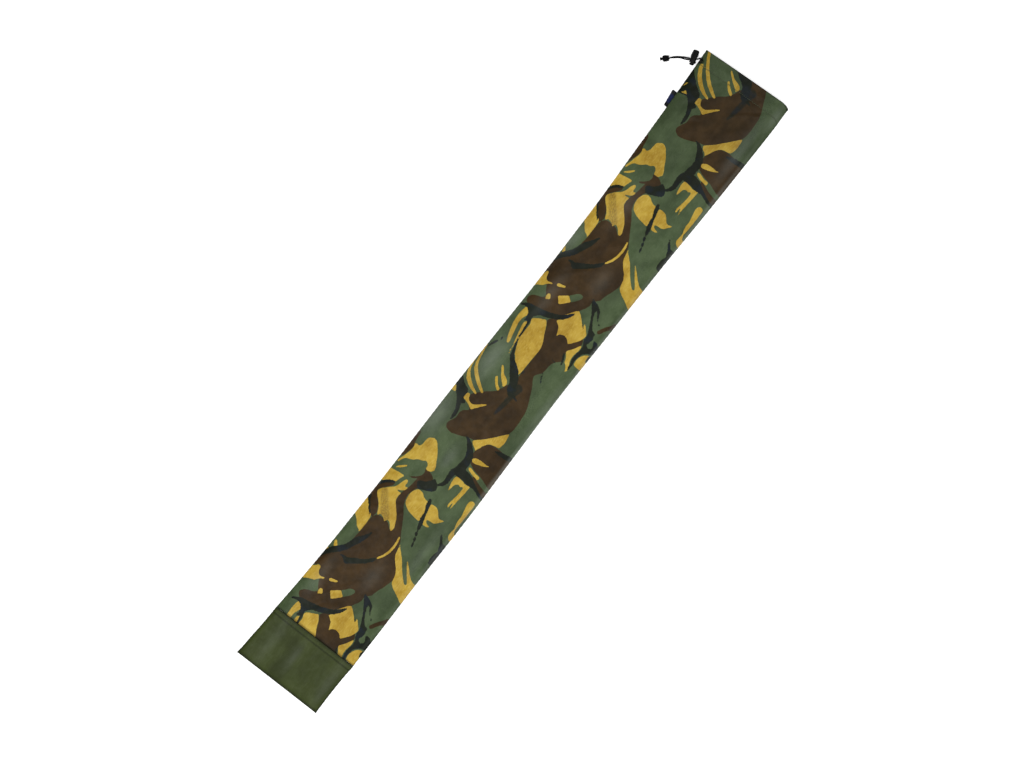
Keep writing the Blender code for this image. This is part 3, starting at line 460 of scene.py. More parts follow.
class Graph:
    """A short way to lay out a material's nodes."""

    def __init__(self, name):
        self.material = bpy.data.materials.new(name)
        self.material.use_nodes = True
        self.tree = self.material.node_tree
        self.tree.nodes.clear()
        self.output = self.tree.nodes.new("ShaderNodeOutputMaterial")

    def put(self, value, socket):
        if isinstance(value, bpy.types.NodeSocket):
            self.tree.links.new(value, socket)
        elif value is not None:
            socket.default_value = value

    def node(self, kind, values=None, **settings):
        made = self.tree.nodes.new("ShaderNode" + kind)
        for key, value in settings.items():
            setattr(made, key, value)
        for key, value in (values or {}).items():
            self.put(value, made.inputs[key])
        return made

    def math(self, operation, *values, clamp=False):
        made = self.node("Math", dict(enumerate(values)), operation=operation)
        made.use_clamp = clamp
        return made.outputs[0]

    def mix(self, factor, a, b, blend="MIX"):
        made = self.node("Mix", data_type="RGBA", blend_type=blend)
        self.put(factor, made.inputs[0])
        self.put(a, made.inputs[6])
        self.put(b, made.inputs[7])
        return made.outputs[2]

    def ramp(self, value, low, high, a=0.0, b=1.0):
        made = self.node("MapRange", {"Value": value, "From Min": low, "From Max": high,
                                      "To Min": a, "To Max": b},
                         interpolation_type="SMOOTHSTEP")
        return made.outputs[0]

    def attr(self, name):
        return self.node("Attribute", attribute_name=name).outputs["Fac"]

    def vector(self, x, y, z=0.0):
        return self.node("CombineXYZ", {"X": x, "Y": y, "Z": z}).outputs[0]

    def noise(self, vector, scale, detail=2.0, rough=0.5, distort=0.0):
        made = self.node("TexNoise", {"Vector": vector, "Scale": scale, "Detail": detail,
                                      "Roughness": rough, "Distortion": distort})
        return made.outputs[0]

    def bump(self, height, distance, strength=1.0, under=None):
        made = self.node("Bump", {"Height": height, "Distance": distance,
                                  "Strength": strength})
        if under is not None:
            self.put(under, made.inputs["Normal"])
        return made.outputs[0]

    def finish(self, colour, roughness, normal=None, **extra):
        shader = self.node("BsdfPrincipled", {"Base Color": colour, "Roughness": roughness})
        if normal is not None:
            self.put(normal, shader.inputs["Normal"])
        for key, value in extra.items():
            self.put(value, shader.inputs[key.replace("_", " ")])
        self.tree.links.new(shader.outputs[0], self.output.inputs[0])
        return self.material


def woven(g, pitch, along, across):
    """Height of a plain weave whose threads lie along and across, from 0 to 1."""
    k = 2 * math.pi / pitch
    a = g.math("SINE", g.math("MULTIPLY", along, k))
    b = g.math("SINE", g.math("MULTIPLY", across, k))
    return g.math("MULTIPLY_ADD", g.math("MULTIPLY", a, b), 0.5, 0.5)


GREEN, GREEN_DARK, GREEN_PALE = srgb(72, 86, 58), srgb(61, 75, 48), srgb(90, 104, 77)
BROWN_INK, BROWN_DARK, DRY_TONE = srgb(62, 45, 22), srgb(49, 35, 14), srgb(104, 82, 40)
TAN_INK, TAN_LIGHT, TAN_DEEP = srgb(186, 154, 58), srgb(204, 178, 88), srgb(170, 136, 42)
BLACK_INK, NAVY_INK = srgb(23, 28, 18), srgb(22, 30, 34)
REVERSE = srgb(56, 60, 46)
OLIVE, OLIVE_LIGHT, OLIVE_DARK = srgb(60, 69, 34), srgb(70, 80, 46), srgb(54, 62, 28)


def coated_cloth(name, colours, slot_pitch=0.9):
    """Coated cloth; colours(g, place) gives its face colour. It reads each piece's own values."""
    g = Graph(name)
    along, across = g.attr("along"), g.attr("across")
    place = g.vector(along, across)
    colour = colours(g, place, along, across)
    weave = woven(g, slot_pitch, along, across)
    slub = g.noise(g.vector(g.math("MULTIPLY", along, 0.12), across), 0.9, 3.0, 0.6)
    cloud = g.noise(g.vector(g.math("MULTIPLY", along, 0.5), across), 0.026, 2.0, 0.5, 0.4)
    fine = g.noise(place, 0.7, 4.0, 0.65)
    # coated yarn shows a little lighter on its crowns, and the cloth clouds softly
    colour = g.mix(0.16, colour, g.mix(weave, (0.25, 0.25, 0.25, 1), (1, 1, 1, 1)), "SOFT_LIGHT")
    colour = g.mix(0.45, colour, g.mix(g.ramp(cloud, 0.30, 0.70), (0.24, 0.24, 0.24, 1),
                                       (0.74, 0.74, 0.73, 1)), "SOFT_LIGHT")
    colour = g.mix(0.12, colour, g.mix(fine, (0.2, 0.2, 0.2, 1), (0.8, 0.8, 0.8, 1)),
                   "SOFT_LIGHT")
    # painted sheen in lighter, greyer patches, and painted shade beside each seam
    painted_sheen = g.math("MULTIPLY", g.attr("painted_sheen"), g.ramp(fine, 0.30, 0.70, 0.55, 1.0))
    colour = g.mix(painted_sheen, colour, g.mix(0.5, colour, (0.42, 0.46, 0.42, 1)))
    # painted shade: the colour darkens within a few millimetres of each seam, edge and stitched line
    near = g.math("ADD", g.attr("seam"), g.ramp(g.noise(place, 0.45, 3.0), 0.2, 0.8, -0.8, 0.8))
    colour = g.mix(g.ramp(near, 0.3, 5.5, 0.62, 0.0), colour, (0.004, 0.005, 0.003, 1))
    # painted shade: the cloth is darker towards the mouth
    colour = g.mix(g.math("MULTIPLY", g.attr("tone"), 0.22), colour, (0.006, 0.007, 0.004, 1))
    inside = g.mix(g.ramp(fine, 0.3, 0.7), REVERSE, srgb(44, 48, 36))
    colour = g.mix(g.attr("reverse"), colour, inside)
    height = g.math("MULTIPLY_ADD", weave, 0.35, g.math("MULTIPLY", slub, 0.8))
    height = g.math("ADD", height, g.math("MULTIPLY", fine, 0.7))
    normal = g.bump(height, 0.00016, 0.55)
    crease = g.noise(g.vector(g.math("MULTIPLY", along, 0.55), across), 0.085, 4.0, 0.6, 0.6)
    normal = g.bump(crease, 0.0016, 0.32, normal)
    rough = g.ramp(g.noise(place, 0.12, 3.0), 0.25, 0.75, 0.46, 0.60)
    rough = g.math("ADD", rough, g.math("MULTIPLY", weave, 0.06))
    # the coating is worn dull where the cloth is bent round to its side seams
    gloss = g.math("MULTIPLY_ADD", g.attr("painted_sheen"), 0.30, 0.13)
    gloss = g.math("MULTIPLY", gloss, g.ramp(g.attr("flank"), 3.0, 24.0, 0.10, 1.0))
    return g.finish(colour, rough, normal, Specular_IOR_Level=gloss)


def camouflage(g, place, along, across):
    """Four inks laid over each other with slightly ragged edges."""
    ragged = g.math("SUBTRACT", g.noise(place, 0.85, 3.0, 0.6), 0.5)
    wander = g.math("SUBTRACT", g.noise(place, 0.16, 2.0), 0.5)
    rag = g.math("MULTIPLY_ADD", ragged, 0.55, g.math("MULTIPLY", wander, 0.7))

    def laid(name, extra=None, soft=0.16):
        value = g.math("ADD", g.attr(name), rag)
        if extra is not None:
            value = g.math("ADD", value, extra)
        return g.ramp(value, soft, -soft)

    streak = g.noise(g.vector(g.math("MULTIPLY", along, 0.25), across), 0.5, 4.0, 0.7)
    blotch = g.noise(place, 0.05, 3.0, 0.6)
    green = g.mix(g.ramp(blotch, 0.35, 0.75), GREEN, GREEN_DARK)
    green = g.mix(g.math("MULTIPLY", g.ramp(streak, 0.50, 0.72), 0.35), green, GREEN_PALE)
    specks = g.ramp(g.noise(place, 0.42, 4.0, 0.8), 0.50, 0.60, 0.0, 0.55)
    green = g.mix(g.math("MULTIPLY", laid("ink_grain", soft=2.5), specks), green, srgb(38, 50, 32))
    brown = g.mix(g.ramp(blotch, 0.30, 0.70), BROWN_INK, BROWN_DARK)
    tan = g.mix(g.ramp(g.noise(place, 0.07, 2.0), 0.35, 0.65), TAN_INK, TAN_DEEP)
    tan = g.mix(g.math("MULTIPLY", g.ramp(streak, 0.45, 0.70), 0.6), tan, TAN_LIGHT)
    black = g.mix(g.ramp(g.noise(place, 0.045, 2.0), 0.48, 0.66), BLACK_INK, NAVY_INK)
    splashed = g.math("MULTIPLY", g.math("SUBTRACT", g.noise(place, 0.34, 4.0, 0.75), 0.5), 2.6)
    # the dry-brushed places let the darker ink show through the tan in specks
    dry = g.math("MULTIPLY", g.ramp(g.attr("ink_dry"), 1.5, -1.5),
                 g.ramp(g.noise(place, 0.62, 3.0, 0.75), 0.44, 0.54))
    colour = g.mix(laid("ink_brown"), green, brown)
    brushed = g.math("MULTIPLY", laid("ink_shade", soft=1.1), g.ramp(streak, 0.25, 0.55, 0.35, 0.9))
    colour = g.mix(brushed, colour, black)
    colour = g.mix(laid("ink_green"), colour, green)
    tan = g.mix(g.math("MULTIPLY", dry, 0.80), tan, DRY_TONE)
    colour = g.mix(laid("ink_tan"), colour, tan)
    return g.mix(laid("ink_black", splashed), colour, black)


def plain_olive(g, place, along, across):
    blotch = g.noise(place, 0.030, 3.0, 0.6)
    colour = g.mix(g.ramp(blotch, 0.30, 0.70), OLIVE, OLIVE_DARK)
    streak = g.noise(g.vector(g.math("MULTIPLY", along, 0.2), across), 0.35, 4.0, 0.7)
    return g.mix(g.math("MULTIPLY", g.ramp(streak, 0.46, 0.70), 0.35), colour, OLIVE_LIGHT)


CAMO = coated_cloth("camo_cloth", camouflage)
OLIVE_CLOTH = coated_cloth("olive_cloth", plain_olive, 1.1)


def object_place(g):
    return g.node("TexCoord").outputs["Object"]


def thread_material(name, light, dark):
    g = Graph(name)
    place = object_place(g)
    fibre = g.noise(place, 2600.0, 3.0, 0.6)
    colour = g.mix(g.ramp(fibre, 0.30, 0.70), dark, light)
    colour = g.mix(g.ramp(g.noise(place, 90.0, 2.0), 0.35, 0.65, 0.0, 0.5), colour, dark)
    return g.finish(colour, 0.78, g.bump(fibre, 0.00008, 0.8), Specular_IOR_Level=0.2,
                    Sheen_Weight=0.04)


THREAD = thread_material("sewing_thread", srgb(104, 110, 84), srgb(70, 78, 54))
THREAD_DARK = thread_material("olive_thread", srgb(66, 74, 44), srgb(44, 50, 28))
OVERLOCK = thread_material("overlock_thread", srgb(96, 102, 80), srgb(64, 70, 54))


def cord_material():
    g = Graph("black_braid")
    place = object_place(g)
    fibre = g.noise(place, 3200.0, 3.0, 0.7)
    worn = g.noise(place, 320.0, 2.0)
    colour = g.mix(g.ramp(fibre, 0.35, 0.70), srgb(6, 6, 7), srgb(14, 14, 15))
    colour = g.mix(g.ramp(worn, 0.52, 0.72, 0.0, 0.4), colour, srgb(22, 22, 24))
    return g.finish(colour, g.ramp(fibre, 0.2, 0.8, 0.50, 0.72),
                    g.bump(fibre, 0.00010, 0.8), Specular_IOR_Level=0.06)


CORD = cord_material()


def plastic_material():
    g = Graph("black_plastic")
    place = object_place(g)
    grain = g.noise(place, 2200.0, 3.0, 0.6)
    scuff = g.noise(place, 260.0, 4.0, 0.7, 0.6)
    colour = g.mix(g.ramp(scuff, 0.55, 0.75, 0.0, 0.5), srgb(7, 8, 8), srgb(19, 21, 20))
    normal = g.bump(grain, 0.00005, 0.5)
    return g.finish(colour, g.ramp(scuff, 0.30, 0.70, 0.36, 0.54), normal,
                    Specular_IOR_Level=0.14)


PLASTIC = plastic_material()


def steel_material():
    g = Graph("spring_steel")
    place = object_place(g)
    drawn = g.noise(place, 1500.0, 3.0, 0.6)
    colour = g.mix(drawn, srgb(150, 150, 152), srgb(190, 190, 192))
    return g.finish(colour, g.ramp(drawn, 0.3, 0.7, 0.22, 0.40), g.bump(drawn, 0.00003, 0.6),
                    Metallic=1.0)


STEEL = steel_material()


def label_material():
    g = Graph("woven_label")
    along, across = g.attr("along"), g.attr("across")
    rib = woven(g, 0.55, along, g.math("MULTIPLY", across, 1.7))
    band = g.math("MULTIPLY", g.ramp(along, 5.0, 9.0), g.ramp(along, 25.0, 21.0))
    colour = g.mix(band, srgb(7, 9, 13), srgb(9, 24, 66))
    colour = g.mix(0.35, colour, g.mix(rib, (0.2, 0.2, 0.2, 1), (0.9, 0.9, 0.9, 1)),
                   "SOFT_LIGHT")
    edge = g.math("MULTIPLY", g.ramp(along, 0.0, 1.4), g.ramp(along, 30.5, 29.1))
    colour = g.mix(edge, srgb(8, 9, 14), colour)
    return g.finish(colour, g.ramp(rib, 0.0, 1.0, 0.42, 0.62), g.bump(rib, 0.00016, 0.8),
                    Specular_IOR_Level=0.2)


LABEL = label_material()


# ------------------------------------------------------------ the cloth's relief
DICE = np.random.RandomState(41)
CREASES = []
for number in range(118):
    CREASES.append((
        BASE_SEAM_X + (MOUTH_X - BASE_SEAM_X) * (number + DICE.rand()) / 118,
        (DICE.rand() * 2 - 1) * 62.0 * MM,
        DICE.choice((-1, 1)) * math.radians(DICE.uniform(4, 58)),
        DICE.uniform(16, 52) * MM, DICE.uniform(3.2, 8.0) * MM,
        DICE.choice((-1, 1)) * DICE.uniform(0.25, 0.95) * MM,
    ))
# folds that stand out: x, y, turn, half length, half width, height
CREASES += [
    (-640.0 * MM + 52 * MM, 50.0 * MM, 0.02, 70 * MM, 12 * MM, 1.0 * MM),
    (-640.0 * MM + 50 * MM, -68.0 * MM, -0.03, 62 * MM, 11 * MM, 0.9 * MM),
    (-603.0 * MM, -8.0 * MM, 0.05, 60 * MM, 26 * MM, -0.9 * MM),
    (-80.0 * MM, 56.0 * MM, 0.10, 44 * MM, 12 * MM, 1.5 * MM),
    (8.0 * MM, 50.0 * MM, -0.12, 46 * MM, 11 * MM, 1.5 * MM),
    (-171.0 * MM, 2.0 * MM, 0.35, 34 * MM, 11 * MM, 1.2 * MM),
    (250.0 * MM, 64.0 * MM, 0.08, 40 * MM, 9 * MM, 1.3 * MM),
    (430.0 * MM, -70.0 * MM, 0.03, 60 * MM, 8 * MM, 1.0 * MM),
    (600.0 * MM, -76.0 * MM, 0.50, 17 * MM, 4 * MM, 1.4 * MM),
    (611.0 * MM, -60.0 * MM, -0.65, 16 * MM, 4 * MM, 1.2 * MM),
    (588.0 * MM, -66.0 * MM, 0.20, 26 * MM, 5 * MM, -1.2 * MM),
]
# patches of painted sheen, lighter and greyer, which also gloss more: x, y, half length, half width, share
PAINTED_SHEEN = (
    (-125.0, 66.0, 40.0, 15.0, 0.42), (8.0, 52.0, 40.0, 14.0, 0.40), (-171.0, 4.0, 22.0, 10.0, 0.20),
    (251.0, 64.0, 26.0, 8.0, 0.30), (-95.0, -80.0, 380.0, 3.2, 0.34), (420.0, -83.0, 150.0, 3.4, 0.40),
    (620.0, -80.0, 26.0, 7.0, 0.34), (-604.0, 51.0, 62.0, 9.0, 0.10), (-604.0, -70.0, 52.0, 9.0, 0.12),
    (-600.0, 5.0, 28.0, 7.0, 0.12), (540.0, -66.0, 60.0, 9.0, 0.22), (-330.0, -62.0, 60.0, 9.0, 0.16),
    (150.0, 40.0, 40.0, 10.0, 0.16), (350.0, 30.0, 40.0, 12.0, 0.14), (-470.0, 55.0, 40.0, 10.0, 0.14),
    (-411.0, -18.0, 26.0, 13.0, 0.13), (222.0, -16.0, 26.0, 13.0, 0.12), (-10.0, -74.0, 60.0, 7.0, 0.22),
)


def relief(x, y, share=1.0):
    """Height of the cloth's folds above its smooth form."""
    out = 0.85 * MM * chance(x / 0.085, y / 0.040, 3) + 0.45 * MM * chance(x / 0.034, y / 0.021, 5)
    out += 0.16 * MM * chance(x / 0.012, y / 0.0085, 9)
    for cx, cy, turn, long, wide, high in CREASES:
        near = np.abs(x - cx) < 3.2 * long
        if not near.any():
            continue
        dx, dy = x[near] - cx, y[near] - cy
        a = dx * math.cos(turn) + dy * math.sin(turn)
        b = -dx * math.sin(turn) + dy * math.cos(turn) + 0.10 * a * np.sin(a / long)
        rise = np.exp(-(b / wide) ** 2) - 0.55 * np.exp(-((b - 1.5 * wide) / (0.8 * wide)) ** 2)
        out[near] += high * np.exp(-(a / long) ** 2) * rise
    return out * share


# painted sheen: how much of the lighter, greyer sheen colour each point takes
def painted_sheen_at(x, y):
    out = np.zeros(x.shape)
    for cx, cy, long, wide, share in PAINTED_SHEEN:
        out = np.maximum(out, share * np.exp(-((x / MM - cx) / long) ** 2
                                             - ((y / MM - cy) / wide) ** 2))
    return out


def front_profile(x, count, start=0.0, inset=0.0):
    """One section of the front layer at equal steps round it: points, normals, print's v."""
    angle = np.linspace(start, np.pi, 420)
    p = arch(x, angle, inset)
    outer = arch(x, np.linspace(0.0, np.pi, 420), 0.0)
    seg = np.hypot(np.diff(p[:, 1]), np.diff(p[:, 2]))
    s = np.concatenate([[0], np.cumsum(seg)])
    f = np.linspace(0, s[-1], count)
    y, z = np.interp(f, s, p[:, 1]), np.interp(f, s, p[:, 2])
    ty, tz = np.gradient(y), np.gradient(z)
    k = np.maximum(np.hypot(ty, tz), 1e-12)
    normal = np.stack([0 * y, tz / k, -ty / k], -1)
    middle = (outer[0, 1] + outer[-1, 1]) / 2
    half = (outer[0, 1] - outer[-1, 1]) / 2
    high, low = middle + 0.88 * half, middle - 0.88 * half
    s_high, s_low = np.interp(-high, -p[:, 1], s), np.interp(-low, -p[:, 1], s)
    v = -y / UNIT - 0.4
    v = np.where(f < s_high, -high / UNIT - 0.4 - (s_high - f) / UNIT, v)
    v = np.where(f > s_low, -low / UNIT - 0.4 + (f - s_low) / UNIT, v)
    return np.stack([skewed(x, y), y, z], -1), normal, v, np.minimum(f, s[-1] - f)


def corner_dip(x, y):
    """The front layer's hem is rounded off at its right-hand corner."""
    return (smooth(x, 585 * MM, 649 * MM) * 9.5 * MM
            * np.clip((-y - 72.0 * MM) / (15.5 * MM), 0, 1) ** 2.2)


def front_cloth(rows, count, share, notch=False):
    """Grid of the front layer. rows hold x, inset, and the share of the height kept."""
    points, normals, vs, sides = [], [], [], []
    for x, inset, kept in rows:
        start = 0.0
        if notch:  # the seam is open for a few millimetres where the drawcord comes out
            start = math.radians(24.0) * math.exp(-(((x - EXIT[0] + 0.2 * MM) / (6.2 * MM)) ** 4))
        p, n, v, side = front_profile(x, count, start, inset)
        if kept < 1:
            p[:, 2] = 1.25 * MM + (p[:, 2] - 1.25 * MM) * kept
        points.append(p)
        normals.append(n)
        vs.append(v)
        sides.append(side)
    points, normals, vs, sides = map(np.array, (points, normals, vs, sides))
    xs = np.array([r[0] for r in rows])[:, None] + 0 * vs
    insets = np.array([r[1] for r in rows])[:, None] + 0 * vs
    ends = np.minimum(np.abs(xs - rows[0][0]), np.abs(rows[-1][0] - xs) + 6 * MM)
    calm = smooth(sides, 0.5 * MM, 13 * MM) * smooth(ends, 0.0, 12 * MM)
    lift = relief(xs, points[..., 1], share) * calm
    s = np.cumsum(np.concatenate([np.zeros((len(rows), 1)), np.linalg.norm(
        np.diff(points[..., 1:], axis=1), axis=2)], 1), 1)
    return points, normals, vs, sides, xs, insets, lift, s


def with_seams(points, *fields, drop=0.55 * MM):
    """Adds the columns that turn in at the two side seams."""
    add_left, add_right = [], []
    for inward, down in ((2.6, 1.0), (1.3, 1.0), (0.45, 0.85), (0.08, 0.45)):
        a, b = points[:, 0].copy(), points[:, -1].copy()
        a[:, 1] -= inward * MM
        b[:, 1] += inward * MM
        a[:, 2] -= down * drop
        b[:, 2] -= down * drop
        add_left.append(a)
        add_right.append(b)
    grid = np.concatenate([np.stack(add_left, 1), points, np.stack(add_right[::-1], 1)], 1)
    out = [np.concatenate([np.repeat(f[:, :1], 4, 1), f, np.repeat(f[:, -1:], 4, 1)], 1)
           for f in fields]
    return grid, out


# ------------------------------------------------------ printed cloth, front layer
STEP = 2.15 * MM
start, end = BASE_SEAM_X + GAP / 2, MOUTH_X
rows = [(start + 2.4 * MM, 1.5 * MM, 1), (start + 0.9 * MM, 1.25 * MM, 1),
        (start + 0.1 * MM, 0.75 * MM, 1), (start + 0.15 * MM, 0.25 * MM, 1)]
regular = np.linspace(start + 0.9 * MM, end - 0.9 * MM, int(round((end - start) / STEP)))
rows += [(x, 0.0, 1) for x in regular]
FOLD = 0.8 * MM
rows += [(end - FOLD + FOLD * math.sin(a), FOLD * (1 - math.cos(a)), 1)
         for a in np.linspace(0.45, math.pi, 7)]
rows += [(end - 2.6 * MM, 2 * FOLD + 0.1 * MM, 1)]
COLUMNS = 84
p, n, v, side, xs, insets, lift, s = front_cloth(rows, COLUMNS, 1.0, notch=True)


def hem_relief(xs, s, y):
    """The stitched line, the soft ridge over the drawcord and the hem's small gathers."""
    fade = smooth(xs, 616 * MM, 624 * MM)
    gather = np.sin(s / (11.5 * MM) * 2 * np.pi + 2.2 * chance(s / 0.03, xs / 0.05, 21))
    out = -0.55 * MM * np.exp(-((xs - HEM_STITCH_X) / (1.5 * MM)) ** 2)
    out += 0.55 * MM * np.exp(-((xs - 635 * MM) / (4.5 * MM)) ** 2)
    out += 0.26 * MM * gather * fade * (0.6 + 0.5 * chance(s / 0.045, xs / 0.4, 23))
    # pulls that run down from the stitched line
    pull = np.sin(s / (8.5 * MM) * 2 * np.pi + 3.0 * chance(s / 0.04, 0 * s, 27))
    out += 0.17 * MM * pull * np.exp(-np.abs(xs - HEM_STITCH_X) / (9 * MM))
    return out


def seam_pucker(xs, side):
    """Small even puckers beside a sewn side seam."""
    wave = np.sin(xs / (9.0 * MM) * 2 * np.pi + 2.5 * chance(xs / 0.06, 0 * xs, 31))
    return 0.28 * MM * wave * np.exp(-((side - 4 * MM) / (4.5 * MM)) ** 2)


def base_seam_relief(xs):
    return -0.35 * MM * np.exp(-((xs - BASE_SEAM_X) / (2.2 * MM)) ** 2)


lift = lift + hem_relief(xs, s, p[..., 1]) * smooth(side, 1 * MM, 7 * MM)
lift = lift + seam_pucker(xs, side)
moved = p + n * lift[..., None]
dip = corner_dip(xs, p[..., 1])
moved[..., 0] -= dip
moved[..., 2] = np.maximum(moved[..., 2], SEAM_Z - 0.1 * MM)
u = (moved[..., 0] + 0 * dip) / UNIT + 384.75
u_edge = np.maximum(u, (xs - 2 * insets) / UNIT + 384.75) * 0 + (
    skewed(xs, p[..., 1]) + np.where(xs > 600 * MM, 1, 0) * insets) / UNIT + 384.75
seam = np.minimum(side, np.minimum(np.abs(xs - start), np.abs(end - xs) * 3.0 + 0.4 * MM)) / MM
seam = np.minimum(seam, np.abs(xs - HEM_STITCH_X) / MM * 1.6 + 2.3)
# the painted sheen patches on the front layer
painted_sheen = painted_sheen_at(xs, p[..., 1])
FRONT = {"grid": moved, "normal": n, "xs": xs[:, 0], "s": s}
grid, (gv, gu, gseam, gpainted_sheen, gflank) = with_seams(moved, v, u_edge, seam, painted_sheen, side / MM)
values = printed(*pulled(gv, gu))
# no yellow reaches this stretch of the hem's edge
bare = smooth(gu, 760.0, 764.0) * smooth(gv, -4.0, -2.0)
values["ink_tan"] = values["ink_tan"] + 12.0 * bare.ravel()
# nor does the outer stripe reach past the stitching beside the cord's exit
bare = (1 - smooth(gv, -46.0, -44.8)) * smooth(gu, 748.8, 750.5) * (1 - smooth(gu, 755.0, 757.0))
values["ink_tan"] = values["ink_tan"] + 12.0 * bare.ravel()
# below the exit the black runs up the side seam, round two small yellow wedges
wedges = np.minimum(
    inside_distance(gv, gu, [(-46.5, 713.8), (-43.7, 716.5), (-41.6, 719.4), (-39.5, 718),
                             (-37.2, 715.8), (-41, 715.2), (-44, 714.3)]),
    inside_distance(gv, gu, [(-48.9, 718.5), (-48.2, 722.5), (-46.3, 726.3), (-44.9, 727.6),
                             (-44.3, 726.2), (-45.6, 723), (-47.4, 720.5)])).ravel()
band = inside_distance(gv, gu, [
    (-53, 744.5), (-50, 742), (-46.5, 738.6), (-43, 735.4), (-39, 731.9), (-35.5, 728.8),
    (-31, 726), (-27.5, 723.8), (-27.3, 719), (-33, 716), (-36.8, 714.6), (-41, 714.2),
    (-45, 713.2), (-53, 711.5)]).ravel()
values["ink_tan"] = np.where((band < 1.0) & (gv.ravel() < -35.0), np.minimum(wedges, 4.0),
                             values["ink_tan"])
values["ink_black"] = np.maximum(np.minimum(values["ink_black"], band), -wedges - 0.4)
# these values carry the painted shade beside the seams, the painted sheen patches and the painted shade towards
# the mouth
values.update({"seam": gseam, "painted_sheen": gpainted_sheen, "flank": gflank, "tone": smooth(gu, 585.0, 735.0)})
camo_front = cloth("camo_front_cloth", grid, CAMO, values)
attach(camo_front, "sleeve")
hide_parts("camo_front_panel")

# ------------------------------------------------------- plain base, front layer
start, end = BASE_X, BASE_SEAM_X - GAP / 2
rows = [(start + 3.0 * MM, 0.0, 0.02), (start + 1.2 * MM, 0.0, 0.02),
        (start + 0.3 * MM, 0.0, 0.06), (start + 0.02 * MM, 0.0, 0.32),
        (start + 0.3 * MM, 0.0, 0.70), (start + 1.0 * MM, 0.0, 0.92)]
regular = np.linspace(start + 2.0 * MM, end - 0.9 * MM, 66)
rows += [(x, 0.0, 1) for x in regular]
rows += [(end - 0.35 * MM, 0.12 * MM, 1), (end - 0.05 * MM, 0.5 * MM, 1),
         (end - 0.3 * MM, 1.0 * MM, 1), (end - 2.2 * MM, 1.3 * MM, 1)]
p, n, v, side, xs, insets, lift, s = front_cloth(rows, 100, 0.8)
lift = lift * smooth(xs, BASE_X + 1 * MM, BASE_X + 18 * MM)
lift = lift + seam_pucker(xs, side)
# the turned-up edge under the top-stitching stands a little proud, with its row sunk
lift = lift + 0.45 * MM * smooth(xs, -562.5 * MM, -560.5 * MM)
pull = np.sin(s / (9.5 * MM) * 2 * np.pi + 2.6 * chance(s / 0.05, 0 * s, 37))
lift = lift + 0.15 * MM * pull * np.exp(-np.abs(xs - TOPSTITCH_X) / (7 * MM))
lift = lift - 0.35 * MM * np.exp(-((xs - TOPSTITCH_X) / (1.2 * MM)) ** 2)
bottom_pull = np.sin(s / (10.5 * MM) * 2 * np.pi + 2.6 * chance(s / 0.05, 0 * s, 39))
lift = lift + 0.20 * MM * bottom_pull * np.exp(-((xs - BASE_X - 6 * MM) / (5 * MM)) ** 2)
moved = p + n * lift[..., None]
moved[..., 2] = np.maximum(moved[..., 2], 1.3 * MM)
seam = np.minimum(side, np.abs(xs - start) * 0.8) / MM
seam = np.minimum(seam, np.abs(xs - end) / MM)
seam = np.minimum(seam, np.abs(xs + 562.0 * MM) / MM * 1.2 + 1.5)
BASE_FRONT = {"grid": moved, "normal": n, "xs": xs[:, 0], "s": s}
grid, (gv, gx, gseam, gpainted_sheen, gflank) = with_seams(moved, v, xs, seam, painted_sheen_at(xs, p[..., 1]),
                                              side / MM * 1.8)
base_front = cloth("base_front_cloth", grid, OLIVE_CLOTH, {
    "along": gx / MM, "across": gv * UNIT / MM, "seam": gseam, "painted_sheen": gpainted_sheen, "flank": gflank})
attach(base_front, "sleeve")
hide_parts("base_front_panel")


# ------------------------------------------------------------------- back layers
def back_grid(rows, count, share):
    """Grid of the back layer, right edge to left, resting on the ground."""
    xs = np.array([r[0] for r in rows])
    left, right, _ = edges(xs)
    round_in = 2.2 * MM
    f = np.linspace(0, 1, count)
    y = (right + round_in)[:, None] + (left - right - 2 * round_in)[:, None] * f[None, :]
    x = xs[:, None] + 0 * y
    side = np.minimum(y - right[:, None], left[:, None] - y)
    bumps = relief(x, y + 0.31, share)
    bumps = (bumps - bumps.min()) * 0.30 * smooth(side, 3 * MM, 26 * MM)
    z = 0.05 * MM + bumps + np.array([r[1] for r in rows])[:, None]
    points = np.stack([skewed(x, y), y, z], -1)
    lefts, rights = [], []
    for out, up in ((2.2, 0.0), (1.2, 0.06), (0.45, 0.28), (0.08, 0.62), (0.12, 0.82),
                    (0.6, 0.88), (2.6, 0.88)):
        a, b = points[:, -1].copy(), points[:, 0].copy()
        a[:, 1], b[:, 1] = left - out * MM, right + out * MM
        a[:, 2] = b[:, 2] = 0.05 * MM + up * MM + np.array([r[1] for r in rows]) * 0.5
        a[:, 0], b[:, 0] = skewed(xs, a[:, 1]), skewed(xs, b[:, 1])
        lefts.append(a)
        rights.append(b)
    grid = np.concatenate([np.stack(rights[::-1], 1)[:, :-1], points,
                           np.stack(lefts, 1)[:, 1:]], 1)
    yy = np.concatenate([[right + round_in - (k + 1) * 1.6 * MM for k in range(5, -1, -1)],
                         y.T, [left - round_in + (k + 1) * 1.6 * MM for k in range(6)]], 0).T
    side = np.minimum(yy - right[:, None], left[:, None] - yy)
    return grid, xs[:, None] + 0 * yy, yy, side


def back_corner_dip(x, y):
    """The back layer's hem is rounded off at the same corner, and sticks out beyond the front's."""
    return (smooth(x, 600 * MM, 649 * MM) * 6.0 * MM
            * np.clip((-y - 76.0 * MM) / (12.5 * MM), 0, 1) ** 2.4)


def back_mouth_rows(end):
    return ([(end - FOLD + FOLD * math.sin(a), FOLD * (1 - math.cos(a)))
             for a in np.linspace(0.45, math.pi, 6)] + [(end - 2.6 * MM, 2 * FOLD + 0.1 * MM)])


